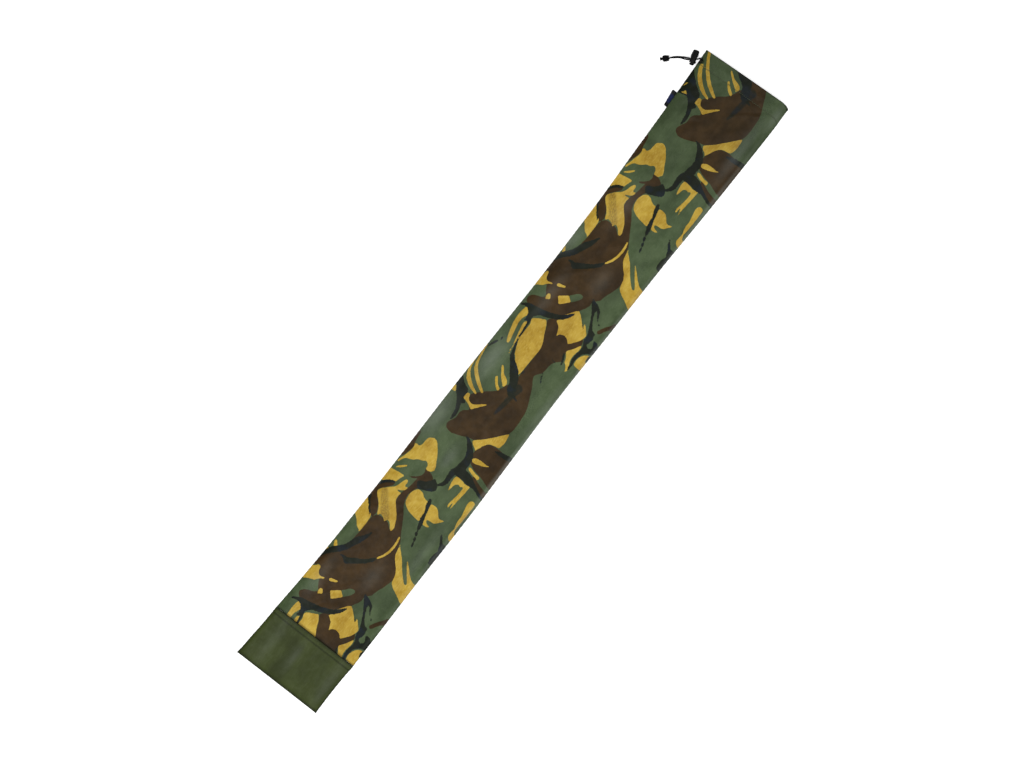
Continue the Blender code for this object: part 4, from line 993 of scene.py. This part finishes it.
start, end = BASE_SEAM_X + GAP / 2, MOUTH_X
rows = [(start + 2.2 * MM, 1.1 * MM), (start + 0.6 * MM, 0.95 * MM), (start + 0.02 * MM, 0.45 * MM),
        (start + 0.4 * MM, 0.08 * MM)]
rows += [(x, 0.0) for x in np.linspace(start + 1.4 * MM, end - 0.9 * MM, 470)]
rows += back_mouth_rows(end)
grid, xs, yy, side = back_grid(rows, 66, 0.8)
groove = 0.4 * MM * np.exp(-((xs - HEM_STITCH_X) / (1.4 * MM)) ** 2)
grid[..., 2] += groove * smooth(side, 2 * MM, 6 * MM)
grid[..., 0] -= back_corner_dip(xs, grid[..., 1])
seam = np.minimum(side, np.minimum(np.abs(xs - start), np.abs(end - xs) * 3.0 + 0.4 * MM)) / MM
seam = np.minimum(seam, np.abs(xs - HEM_STITCH_X) / MM * 1.6 + 2.3)
# the same cloth, cut from further along and seen from its printed side
values = printed(yy / UNIT + 3.0, xs / UNIT + 384.75 + 291.0)
values.update({"seam": np.maximum(seam, 0), "painted_sheen": painted_sheen_at(-xs, yy) * 0.8,
               "flank": np.full(xs.shape, 30.0)})
camo_back = cloth("camo_back_cloth", grid, CAMO, values)
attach(camo_back, "sleeve")
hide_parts("camo_back_panel")
BACK = {"grid": grid, "xs": xs[:, 0]}

start, end = BASE_X, BASE_SEAM_X - GAP / 2
rows = [(start + 3.0 * MM, 1.0 * MM), (start + 1.0 * MM, 0.95 * MM), (start + 0.15 * MM, 0.75 * MM),
        (start + 0.02 * MM, 0.4 * MM), (start + 0.5 * MM, 0.08 * MM)]
rows += [(x, 0.0) for x in np.linspace(start + 1.5 * MM, end - 1.0 * MM, 60)]
rows += [(end - 0.4 * MM, 0.08 * MM), (end - 0.02 * MM, 0.45 * MM), (end - 0.6 * MM, 0.95 * MM),
         (end - 2.2 * MM, 1.1 * MM)]
grid, xs, yy, side = back_grid(rows, 84, 0.6)
grid[..., 2] += (0.35 * MM * np.exp(-((xs - TOPSTITCH_X) / (1.2 * MM)) ** 2)
                 * smooth(side, 2 * MM, 6 * MM))
seam = np.minimum(np.minimum(side, np.abs(xs - start) * 0.8), np.abs(xs - end)) / MM
base_back = cloth("base_back_cloth", grid, OLIVE_CLOTH, {
    "along": xs / MM, "across": yy / MM, "seam": np.maximum(seam, 0),
    "painted_sheen": painted_sheen_at(xs, yy + 0.02) * 0.8, "flank": np.full(xs.shape, 30.0)})
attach(base_back, "sleeve")
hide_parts("base_back_panel")
BASE_BACK = {"grid": grid, "xs": xs[:, 0]}

# ------------------------------------------------------------------- turned hems
hem_x = np.concatenate([np.linspace(MOUTH_X - 1.4 * MM, 621.5 * MM, 18),
                        np.linspace(620.5 * MM, 615.2 * MM, 5)])


def hem_depth(x):
    """How far the turning lies inside the outer layer: open round the cord, shut at its stitching."""
    open_part = smooth(x, 621.5 * MM, 628 * MM) * smooth(MOUTH_X - x, 1.0 * MM, 8.0 * MM)
    return 1.7 * MM + 3.6 * MM * open_part


hem_rows, hem_vs, hem_s = [], [], []
for x in hem_x:
    section, _, hem_v, _ = front_profile(x, 72, math.radians(27.0), hem_depth(x))
    hem_rows.append(section[:67])
    hem_vs.append(hem_v[:67])
    hem_s.append(np.concatenate([[0], np.cumsum(np.linalg.norm(
        np.diff(section[:67, 1:], axis=0), axis=1))]))
grid, hem_v, hem_s = map(np.array, (hem_rows, hem_vs, hem_s))
grid[..., 2] -= 0.16 * MM * (1 + np.sin(hem_s / (11.5 * MM) * 2 * np.pi + 1.0))
xs = hem_x[:, None] + 0 * hem_v
grid[..., 0] -= corner_dip(xs, grid[..., 1])
# the turned edge shows the printed face to the inside, running back from the fold
values = printed(hem_v[:, ::-1], (2 * MOUTH_X - xs) / UNIT + 384.75)
values.update({"seam": np.minimum((MOUTH_X - xs) * 2 / MM, (xs - 614 * MM) / MM),
               "painted_sheen": np.zeros(xs.shape), "flank": np.full(xs.shape, 30.0)})
front_turning = cloth("front_hem_turning_cloth", grid[:, ::-1], CAMO, values, 0.4 * MM)
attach(front_turning, "sleeve")
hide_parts("front_hem_turning")

back_y = np.linspace(-79.0 * MM, 76.0 * MM, 60)
grid = np.zeros((len(hem_x), len(back_y), 3))
for i, x in enumerate(hem_x):
    rise = float(hem_depth(x))
    taper = smooth(np.minimum(back_y + 83.0 * MM, 80.0 * MM - back_y), 0.0, 10 * MM)
    wave = 0.16 * MM * (1 + np.sin(back_y / (12.5 * MM) * 2 * np.pi))
    grid[i] = np.stack([skewed(x, back_y), back_y,
                        1.75 * MM + (rise - 1.75 * MM + wave) * taper], -1)
xs = hem_x[:, None] + 0 * grid[..., 0]
values = printed(grid[..., 1] / UNIT + 3.0, (2 * MOUTH_X - xs) / UNIT + 384.75 + 291.0)
values.update({"seam": np.minimum((MOUTH_X - xs) * 2 / MM, (xs - 614 * MM) / MM),
               "painted_sheen": np.zeros(xs.shape), "flank": np.full(xs.shape, 30.0)})
back_turning = cloth("back_hem_turning_cloth", grid, CAMO, values, 0.4 * MM)
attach(back_turning, "sleeve")
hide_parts("back_hem_turning")


# ------------------------------------------------------------------ stitch rows
def on_front(record, x, low, high, step=0.4 * MM):
    """A line along the made surface at x, with the surface's normals, between two shares."""
    grid, xs = record["grid"], record["xs"]
    order = np.argsort(xs)
    k = np.interp(x, xs[order], np.arange(len(xs)))
    i = int(np.floor(k))
    f = k - i
    a, b = order[i], order[min(i + 1, len(xs) - 1)]
    line = grid[a] * (1 - f) + grid[b] * f
    normal = record["normal"][a] * (1 - f) + record["normal"][b] * f
    run = np.concatenate([[0], np.cumsum(np.linalg.norm(np.diff(line, axis=0), axis=1))])
    at = np.arange(run[-1] * low, run[-1] * high, step)
    return (np.stack([np.interp(at, run, line[:, c]) for c in range(3)], -1),
            np.stack([np.interp(at, run, normal[:, c]) for c in range(3)], -1))


def stitches(line, normals, length, gap, radius, seed):
    """Separate stitches along a line, each diving into the cloth at both ends."""
    dice = np.random.RandomState(seed)
    run = np.concatenate([[0], np.cumsum(np.linalg.norm(np.diff(line, axis=0), axis=1))])
    parts, at = [], 0.0
    while at + length < run[-1]:
        f = np.linspace(0, 1, 9)
        where = at + f * length * dice.uniform(0.94, 1.04)
        p = np.stack([np.interp(where, run, line[:, c]) for c in range(3)], -1)
        n = np.stack([np.interp(where, run, normals[:, c]) for c in range(3)], -1)
        along = p[-1] - p[0]
        aside = np.cross(n[4], along / np.linalg.norm(along))
        arc = np.sin(np.pi * f) ** 0.55
        p = p + n * (radius * (-1.5 + 2.2 * arc))[:, None]
        p = p + aside * (dice.uniform(-0.10, 0.10) * MM + 0.12 * MM * (f - 0.5))[:, None]
        twist = 2 * np.pi / (1.1 * MM)
        parts.append(sweep(p, radius * (0.75 + 0.25 * arc), 8,
                           lambda d, a: 0.10 * np.cos(2 * (a - d * twist))))
        at += length + gap
    return join(parts)


def stitch_piece(name, node, made, material):
    obj = make(name, *made, material)
    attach(obj, "sleeve")
    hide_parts(node)
    return obj


line, normals = on_front(FRONT, HEM_STITCH_X, 0.035, 0.965)
front_hem_row = stitch_piece("front_hem_stitches", "front_hem_stitching",
                             stitches(line, normals, 2.6 * MM, 0.9 * MM, 0.27 * MM, 5), THREAD)
line, normals = on_front(BASE_FRONT, TOPSTITCH_X, 0.02, 0.98)
front_base_row = stitch_piece("front_base_stitches", "front_base_topstitching",
                              stitches(line, normals, 2.8 * MM, 0.9 * MM, 0.27 * MM, 7),
                              THREAD_DARK)


def back_line(record, x):
    xs = record["xs"]
    i = int(np.argmin(np.abs(xs - x) + (np.arange(len(xs)) < 4) + (np.arange(len(xs)) > len(xs) - 8)))
    line = record["grid"][i, 9:-9].copy()
    run = np.linspace(0, len(line) - 1, len(line) * 5)
    line = np.stack([np.interp(run, np.arange(len(line)), line[:, c]) for c in range(3)], -1)
    line[:, 2] += 0.05 * MM
    return line, np.tile((0.0, 0.0, -1.0), (len(line), 1))


line, normals = back_line(BACK, HEM_STITCH_X)
back_hem_row = stitch_piece("back_hem_stitches", "back_hem_stitching",
                            stitches(line, normals, 2.6 * MM, 0.9 * MM, 0.25 * MM, 9), THREAD)
line, normals = back_line(BASE_BACK, TOPSTITCH_X)
back_base_row = stitch_piece("back_base_stitches", "back_base_topstitching",
                             stitches(line, normals, 2.8 * MM, 0.9 * MM, 0.25 * MM, 11),
                             THREAD_DARK)


# -------------------------------------------- overlocked seam allowances, inside
def overlock(name, node, line, aside, wide=4.4 * MM, high=0.9 * MM):
    """Two cloth edges wrapped together by an overlock thread, and its needle line."""
    run = np.concatenate([[0], np.cumsum(np.linalg.norm(np.diff(line, axis=0), axis=1))])
    at = np.linspace(0, run[-1], max(8, int(run[-1] / (6 * MM))))
    core = np.stack([np.interp(at, run, line[:, c]) for c in range(3)], -1)
    side = np.array(aside, float)
    a = np.linspace(0, 2 * np.pi, 12, endpoint=False)
    shape = np.stack([np.sign(np.cos(a)) * np.abs(np.cos(a)) ** 0.4 * wide / 2,
                      np.sign(np.sin(a)) * np.abs(np.sin(a)) ** 0.6 * high / 2], -1)
    verts = (core[:, None, :] + shape[None, :, :1] * side
             + shape[None, :, 1:] * np.array((0.0, 0.0, 1.0))).reshape(-1, 3)
    faces = grid_faces(len(core), 12, wrap=True)
    faces += [list(range(12))[::-1], [(len(core) - 1) * 12 + k for k in range(12)]]
    parts = [(verts, faces)]
    turns = run[-1] / (3.0 * MM)
    t = np.linspace(0, 1, int(turns * 9))
    p = np.stack([np.interp(t * run[-1], run, line[:, c]) for c in range(3)], -1)
    a = 2 * np.pi * turns * t
    helix = (p + (np.cos(a) * (wide / 2 + 0.12 * MM))[:, None] * side
             + (np.sin(a) * (high / 2 + 0.12 * MM))[:, None] * np.array((0.0, 0.0, 1.0)))
    parts.append(sweep(helix, 0.16 * MM, 5))
    needle = p[::3] - side * (wide / 2 - 0.7 * MM) + np.array((0.0, 0.0, high / 2 + 0.12 * MM))
    parts.append(sweep(needle, 0.18 * MM, 5))
    obj = make(name, *join(parts), OVERLOCK)
    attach(obj, "sleeve")
    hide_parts(node)
    return obj


xs = np.linspace(-634 * MM, 611 * MM, 240)
left, right, _ = edges(xs)
y = left - CLOTH - 4.5 * MM
overlock("left_overlock", "left_seam_overlock",
         np.stack([skewed(xs, y), y, 0 * xs + SEAM_Z + 0.9 * MM], -1), (0.0, -1.0, 0.0))
y = right + CLOTH + 4.5 * MM
overlock("right_overlock", "right_seam_overlock",
         np.stack([skewed(xs, y), y, 0 * xs + SEAM_Z + 0.9 * MM], -1), (0.0, 1.0, 0.0))
y = np.linspace(66 * MM, -64 * MM, 60)
overlock("bottom_overlock", "bottom_seam_overlock",
         np.stack([0 * y - 642 * MM, y, 0 * y + SEAM_Z + 0.75 * MM], -1), (1.0, 0.0, 0.0),
         4.4 * MM, 0.8 * MM)

# ------------------------------------------------------------------- woven label
# a ribbon folded in half and caught in the left seam, a little deeper at its mouth end
xs = np.linspace(526.0 * MM, 556.5 * MM, 44)
rows = []
for i, x in enumerate(xs):
    edge = float(edges(x)[0])
    t = i / (len(xs) - 1)
    outer = (84.7 + 4.1 * t) * MM
    outer -= 0.5 * MM * (smooth(np.array(0.05 - t), 0, 0.05) + smooth(np.array(t - 0.95), 0, 0.05))
    bend = 0.55 * MM
    middle = 1.45 * MM + 0.12 * MM * math.sin(t * 5.0)
    section = [(edge - 1.0 * MM, middle + 0.28 * MM), (edge + 0.4 * MM, middle + 0.42 * MM)]
    section += [(y, middle + bend) for y in np.linspace(edge + 1.4 * MM, outer - bend, 9)]
    section += [(outer - bend + bend * math.sin(a), middle + bend * math.cos(a))
                for a in np.linspace(0.25, math.pi - 0.25, 11)]
    section += [(y, middle - bend) for y in np.linspace(outer - bend, edge + 1.4 * MM, 9)]
    section += [(edge + 0.4 * MM, middle - 0.42 * MM), (edge - 1.0 * MM, middle - 0.28 * MM)]
    rows.append([(float(skewed(x, y)), y, z) for y, z in section])
grid = np.array(rows)
run = np.concatenate([[0], np.cumsum(np.linalg.norm(np.diff(grid[0, :, 1:], axis=0), axis=1))])
ribbon = cloth("woven_label_loop", grid[:, ::-1], LABEL, {
    "along": (xs[:, None] - xs[0] + 0 * run[None, :]) / MM,
    "across": (run[None, ::-1] + 0 * xs[:, None]) / MM}, 0.28 * MM)
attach(ribbon, "sleeve")
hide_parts("woven_label")


# ------------------------------------------------------------------------ cords
def braid(d, a):
    """Diamonds of a round braid: strands that cross each way round it."""
    k = 2 * np.pi / (15.0 * MM)
    return 0.055 * np.abs(np.cos(4 * (a + k * d)) * np.cos(4 * (a - k * d))) ** 0.6 - 0.03


def loop_route():
    inset, loop_x = CLOTH + GAP + CHANNEL / 2, 635.0 * MM
    back_z = CLOTH + GAP + CHANNEL / 2
    up = np.array((0.0, 0.0, STRAND_APART))
    route = [EXIT + up, arch(629.5 * MM, math.radians(13.0), inset)]
    route += [arch(loop_x, math.radians(a), inset) for a in (
        24.0, 34.0, 48.0, 62.0, 76.0, 90.0, 104.0, 118.0, 132.0, 146.0, 156.0, 164.0)]
    route += [np.array((float(skewed(loop_x, y * MM)), y * MM, z)) for y, z in (
        (-83.3, 5.6 * MM), (-80.5, 3.6 * MM), (-74.0, back_z), (-50.0, back_z),
        (-20.0, back_z), (20.0, back_z), (50.0, back_z), (66.0, back_z))]
    return route + [np.array((629.0 * MM, 77.5 * MM, back_z)), EXIT - up]


held = spline(loop_route(), 0.9 * MM)
held_cord = make("drawcord_held_loop", *sweep(held, CORD_D / 2, 16, braid), CORD)
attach(held_cord, "sleeve")
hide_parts("drawcord_loop")


def strand_route():
    points = []
    for x, y in TAIL_ROUTE:
        along = math.hypot(x - 626.7, y - 83.9) * MM
        rise = math.sin(min(along / (5.5 * MM), 1.0) * math.pi / 2)
        fall = float(smooth(along, 44.0 * MM, 52.0 * MM))
        z = EXIT[2] + (LOCK_CENTRE[2] - EXIT[2]) * rise - (LOCK_CENTRE[2] - KNOT_CENTRE[2]) * fall
        points.append((x * MM, y * MM, z))
    return points


strands = []
for name, node, side in (("upper_strand", "drawcord_upper_strand", 1),
                         ("lower_strand", "drawcord_lower_strand", -1)):
    path = spline(strand_route(), 0.45 * MM)
    run = np.concatenate([[0], np.cumsum(np.linalg.norm(np.diff(path, axis=0), axis=1))])
    # one above the other through the exit and the lock, then a quarter turn to lie side by side,
    # half of it back, so that the lock can slide right down to the knot, and the rest at the knot
    lie = smooth(run, 16.5 * MM, 22 * MM) * (1 - 0.52 * smooth(run, 28 * MM, 34.5 * MM))
    turn = math.radians(78.0) * lie * (1 - smooth(run, 46 * MM, 51.5 * MM))
    way = np.gradient(path, axis=0)
    aside = np.cross((0.0, 0.0, 1.0), way / np.linalg.norm(way, axis=1)[:, None])
    apart = side * STRAND_APART * (1 - 0.08 * smooth(run, 28 * MM, 34 * MM))[:, None]
    path = path + apart * (np.sin(turn)[:, None] * aside
                                         + np.cos(turn)[:, None] * np.array((0.0, 0.0, 1.0)))
    piece = make("free_cord_" + name, *sweep(path, CORD_D / 2, 24, braid), CORD)
    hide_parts(node)
    strands.append((piece, path, side))

# ------------------------------------------------------------------------- knot
# Both strands go round themselves together, through, and end in two cut tails.
KNOT_AXIS = np.array((-0.66, 0.75, 0.0))
KNOT_AXIS = KNOT_AXIS / np.linalg.norm(KNOT_AXIS)
KNOT_SIDE = np.cross((0.0, 0.0, 1.0), KNOT_AXIS)
UP = np.array((0.0, 0.0, 1.0))


def knot_point(a, b, c):
    """a along the cord, b across it and c up, in mm from the knot's middle."""
    return KNOT_CENTRE + (a * KNOT_AXIS + b * KNOT_SIDE + c * UP) * MM


def knot_coil(begin, turns, wide, high, drift, phase):
    t = np.linspace(0, 1, int(26 * turns))
    angle = phase + 2 * np.pi * turns * t
    a = begin + drift * t + 0.55 * np.sin(angle + 0.6)
    return np.array([knot_point(p, wide * math.cos(q), high * math.sin(q))
                     for p, q in zip(a, angle)])


CORD_R = CORD_D / 2
core = [spline([knot_point(-6.4, 0.0, 1.4 * s), knot_point(-3.5, 0.3 * s, 1.2 * s),
                knot_point(0.0, 0.9 * s, 0.5 * s), knot_point(3.2, 1.0 * s, 0.2 * s),
                knot_point(4.2, 1.1 * s, 0.0)], 0.5 * MM) for s in (1, -1)]
wraps = [knot_coil(-5.0, 1.25, 3.9, 3.1, 3.0, 0.4), knot_coil(-2.4, 1.25, 4.5, 3.3, 2.8, 1.2),
         knot_coil(0.4, 1.25, 4.5, 3.3, 2.8, 2.0), knot_coil(2.6, 1.1, 3.8, 3.0, 2.2, 2.9)]
over = spline([knot_point(-4.6, -4.0, 1.6), knot_point(-2.8, -2.6, 3.9), knot_point(0.0, 0.2, 4.9),
               knot_point(2.9, 2.8, 3.6), knot_point(4.4, 4.1, 1.2)], 0.5 * MM)
tails = []
for dx, dy, dz, lift in ((-6.9, 5.6, -1.5, 0.6), (-5.2, 7.4, 0.5, 1.0)):
    d = np.array((dx, dy, dz)) / math.sqrt(dx * dx + dy * dy + dz * dz)
    tails.append(spline([KNOT_CENTRE + d * 1.5 * MM + UP * lift * MM,
                         KNOT_CENTRE + d * 4.5 * MM + UP * lift * MM,
                         KNOT_CENTRE + d * 7.2 * MM + UP * lift * 0.5 * MM,
                         KNOT_CENTRE + d * 9.6 * MM], 0.4 * MM))
parts = [sweep(line, CORD_R * 0.97, 20, braid) for line in (*core, *wraps, over)]
for line in tails:
    t = np.linspace(0, 1, len(line))
    parts.append(sweep(line, CORD_R * (1 + 0.10 * smooth(t, 0.75, 1.0)), 20, braid))
    # the cut ends fray a little
    _, n, b = frames(line)
    dice = np.random.RandomState(13 + len(parts))
    for k in range(26):
        a, r = dice.uniform(0, 2 * np.pi), CORD_R * math.sqrt(dice.uniform(0, 0.9))
        root = line[-2] + (n[-1] * math.cos(a) + b[-1] * math.sin(a)) * r
        way = (line[-1] - line[-3]) / np.linalg.norm(line[-1] - line[-3])
        tip = root + way * dice.uniform(0.6, 1.3) * MM + (
            n[-1] * math.cos(a) + b[-1] * math.sin(a)) * dice.uniform(0, 0.5) * MM
        parts.append(sweep(np.linspace(root, tip, 4), 0.11 * MM, 5))
knot_verts, knot_faces = join(parts)
knot_verts[:, 2] = np.maximum(knot_verts[:, 2], 0.12 * MM)
knot = make("drawcord_overhand_knot", knot_verts, knot_faces, CORD)
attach(knot, "cord_tail")
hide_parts("drawcord_knot")


# -------------------------------------------------------------------- cord lock
def lock_matrix():
    z = Vector(LOCK_AXIS)
    x = Vector((0, 0, 1)) - Vector((0, 0, 1)).dot(z) * z
    x.normalize()
    return Matrix.Translation(Vector(LOCK_CENTRE)) @ Matrix(
        (x, z.cross(x), z)).transposed().to_4x4()


def turned(profile, steps=72, swell=None, step=0.22):
    """A closed turned solid; the profile is r, z in mm from one end of the axis to the other."""
    pts = [np.array(profile[0], float)]
    for p, q in zip(profile, profile[1:]):
        p, q = np.array(p, float), np.array(q, float)
        count = max(1, int(np.linalg.norm(q - p) / step / 2.2))
        pts += [p + (q - p) * k / count for k in range(1, count + 1)]
    pts = np.array(pts)
    a = np.linspace(0, 2 * np.pi, steps, endpoint=False)
    body = pts[1:-1]
    r = np.repeat(body[:, :1], steps, 1)
    if swell is not None:
        r = r + swell(body[:, :1], body[:, 1:], a[None, :])
    ring = np.stack([r * np.cos(a), r * np.sin(a), np.repeat(body[:, 1:], steps, 1)], -1)
    verts = np.concatenate([[[0, 0, pts[0, 1]]], ring.reshape(-1, 3), [[0, 0, pts[-1, 1]]]]) * MM
    n = len(body)
    faces = [[0, 1 + (k + 1) % steps, 1 + k] for k in range(steps)]
    faces += grid_faces(n, steps, 1, turned=True, wrap=True)
    last = 1 + (n - 1) * steps
    faces += [[last + k, last + (k + 1) % steps, len(verts) - 1] for k in range(steps)]
    return verts, [f[::-1] for f in faces]


def placed(verts):
    m = np.array(lock_matrix())
    return verts @ m[:3, :3].T + m[:3, 3]


def closed_outwards(obj):
    import bmesh
    bm = bmesh.new()
    bm.from_mesh(obj.data)
    bmesh.ops.recalc_face_normals(bm, faces=bm.faces)
    bm.to_mesh(obj.data)
    bm.free()


def cord_hole(name, wide, high, shift):
    """A stadium-ended bar along the cord's way, to cut with."""
    import bmesh
    bm = bmesh.new()
    bmesh.ops.create_cube(bm, size=1.0)
    bmesh.ops.scale(bm, vec=(high, wide, 30 * MM), verts=bm.verts)
    long = [e for e in bm.edges if abs(e.verts[0].co.z - e.verts[1].co.z) > 15 * MM]
    bmesh.ops.bevel(bm, geom=long, offset=min(wide, high) * 0.42, segments=7, profile=0.5,
                    affect="EDGES", clamp_overlap=True)
    mesh = bpy.data.meshes.new(name)
    bm.to_mesh(mesh)
    bm.free()
    cutter = bpy.data.objects.new(name, mesh)
    bpy.context.scene.collection.objects.link(cutter)
    z, x = Vector(SLIDE_AXIS), Vector((0, 0, 1))
    cutter.matrix_world = Matrix.Translation(Vector(LOCK_CENTRE + LOCK_AXIS * shift)) @ Matrix(
        (x, z.cross(x), z)).transposed().to_4x4()
    return cutter


def cut(obj, cutter, soften=0.22 * MM):
    """Cuts the hole for good, then shades the piece smooth with sharp edges kept at its rims."""
    mod = obj.modifiers.new("cord_way", "BOOLEAN")
    mod.operation, mod.solver, mod.object = "DIFFERENCE", "EXACT", cutter
    bpy.context.view_layer.update()
    graph = bpy.context.evaluated_depsgraph_get()
    mesh = bpy.data.meshes.new_from_object(obj.evaluated_get(graph), depsgraph=graph)
    obj.modifiers.clear()
    obj.data = mesh
    bpy.data.objects.remove(cutter, do_unlink=True)
    mesh.shade_smooth()
    mesh.set_sharp_from_angle(angle=math.radians(32))
    return obj


def barrel_swell(r, z, a):
    """Grip flutes round the outside and a moulding line."""
    outside = (r > 4.6) & (z > -10.5) & (z < 3.6)
    share = smooth(z, -10.5, -9.0) * smooth(-z, -3.6, -2.2)
    flute = -0.20 * share * (0.5 + 0.5 * np.cos(18 * a)) ** 2
    line = 0.06 * np.exp(-((np.mod(a + 0.02, np.pi) - 0.02) / 0.03) ** 2)
    return np.where(outside, flute, 0.0) + np.where(r > 4.6, line, 0.0)


barrel = make("cord_lock_barrel_moulding", *(lambda v, f: (placed(v), f))(*turned((
    (0.0, -14.4), (4.2, -14.4), (4.45, -14.15), (4.45, 6.2), (4.62, 6.5), (4.9, 6.62), (5.45, 6.62),
    (5.8, 6.45), (5.98, 6.1), (6.02, 5.2), (5.95, 4.9), (6.12, 4.6), (6.22, 4.0), (6.34, 2.0),
    (6.36, 0.0), (6.33, -3.0), (6.24, -6.0), (6.05, -8.5), (5.85, -10.4), (5.68, -10.9),
    (5.65, -11.4), (5.6, -12.6), (5.45, -14.0), (5.1, -15.2), (4.5, -15.95), (3.6, -16.3),
    (2.2, -16.42), (1.8, -16.2), (0.0, -16.12)), 96, barrel_swell)), PLASTIC)
closed_outwards(barrel)
cut(barrel, cord_hole("barrel_way", 9.8 * MM, 7.0 * MM, 0.0))
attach(barrel, "cord_lock")
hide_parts("cord_lock_barrel")


def plunger_swell(r, z, a):
    keyed = (r > 3.4) & (z < 6.2) & (z > -6.5)
    return np.where(keyed, -0.10 * (np.cos(2 * a) > 0.985), 0.0)


plunger = make("cord_lock_button_moulding", *(lambda v, f: (placed(v), f))(*turned((
    (0.0, -6.7), (2.2, -6.7), (2.3, -7.0), (3.9, -7.0), (4.2, -6.8), (4.3, -6.4), (4.3, 6.9),
    (4.15, 7.1), (4.15, 7.35), (4.3, 7.55), (4.28, 8.2), (4.1, 9.0), (3.75, 9.75), (3.2, 10.35),
    (2.6, 10.75), (2.3, 10.86), (2.15, 10.8), (1.9, 10.62), (1.2, 10.48), (0.0, 10.44)),
    72, plunger_swell)), PLASTIC)
closed_outwards(plunger)
cut(plunger, cord_hole("plunger_way", 11.0 * MM, 6.9 * MM, 2.0 * MM))
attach(plunger, "lock_button")
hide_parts("cord_lock_plunger")

turns = 5
t = np.linspace(0, 1, turns * 30 + 1)
lift = t - 0.055 * np.sin(2 * np.pi * t)
coil = np.stack([2.9 * np.cos(2 * np.pi * turns * t), 2.9 * np.sin(2 * np.pi * turns * t),
                 -13.7 + 6.0 * lift], -1) * MM
spring = make("cord_lock_coil_spring", *sweep(placed(coil), 0.275 * MM, 10), STEEL)
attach(spring, "cord_lock")
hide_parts("cord_lock_spring")
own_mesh(spring)

# ------------------------------------------------------------ free strands, their placing baked in
for piece, path, side in strands:
    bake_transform(piece)


# ------------------------------------------------------ floor, light and camera
def floor_material():
    g = Graph("pale_floor")
    place = object_place(g)
    tone = g.ramp(g.noise(place, 0.6, 2.0), 0.3, 0.7)
    colour = g.mix(tone, (0.90, 0.90, 0.90, 1), (0.93, 0.93, 0.93, 1))
    shader = g.node("BsdfPrincipled", {"Base Color": colour, "Roughness": 0.9,
                                       "Specular IOR Level": 0.1,
                                       "Emission Color": (1, 1, 1, 1),
                                       "Emission Strength": 0.6})
    g.tree.links.new(shader.outputs[0], g.output.inputs[0])
    return g.material


floor_mesh = bpy.data.meshes.new("floor")
floor_mesh.from_pydata([(-40, -40, 0), (40, -40, 0), (40, 40, 0), (-40, 40, 0)], [], [(0, 1, 2, 3)])
floor_mesh.materials.append(floor_material())
floor = bpy.data.objects.new("floor", floor_mesh)
floor.location.z = -0.0006
bpy.context.scene.collection.objects.link(floor)

world = bpy.data.worlds.new("studio")
bpy.context.scene.world = world
world.use_nodes = True
background = world.node_tree.nodes["Background"]
background.inputs["Color"].default_value = (1.0, 1.0, 1.0, 1.0)
background.inputs["Strength"].default_value = 0.24

TURN = math.radians(-52.13)
RIGHT = Vector((math.cos(TURN), math.sin(TURN), 0))
TOP = Vector((-math.sin(TURN), math.cos(TURN), 0))


def softbox(name, right, up, height, wide, long, power, turn=0.0, aim=(0.0, 0.0, 0.0)):
    lamp = bpy.data.lights.new(name, "AREA")
    lamp.shape = "RECTANGLE"
    lamp.size, lamp.size_y = wide, long
    lamp.energy = power
    obj = bpy.data.objects.new(name, lamp)
    obj.location = RIGHT * right + TOP * up + Vector((0, 0, height))
    way = Vector(aim) - obj.location
    obj.rotation_mode = "QUATERNION"
    obj.rotation_quaternion = (way.to_track_quat("-Z", "Y")
                               @ Matrix.Rotation(turn, 3, "Z").to_quaternion())
    bpy.context.scene.collection.objects.link(obj)
    return obj


softbox("key_softbox", -1.3, -0.3, 3.6, 1.6, 1.6, 76.0)
softbox("fill_softbox", 1.9, -0.9, 3.4, 2.4, 2.4, 59.0)
softbox("edge_softbox", 1.0, 3.0, 1.6, 2.2, 0.8, 7.0)

scene = bpy.context.scene
camera_data = bpy.data.cameras.new("camera")
camera_data.sensor_width = 36.0
DISTANCE, FRAME_WIDTH = 10.0, 1.7408
camera_data.lens = 36.0 * DISTANCE / FRAME_WIDTH
camera_data.clip_start, camera_data.clip_end = 0.1, 200.0
camera = bpy.data.objects.new("camera", camera_data)
camera.location = (-0.0045, -0.0010, DISTANCE + 0.006)
camera.rotation_euler = (0.0, 0.0, TURN)
scene.collection.objects.link(camera)
scene.camera = camera
scene.view_settings.view_transform = "Standard"
scene.view_settings.look = "None"
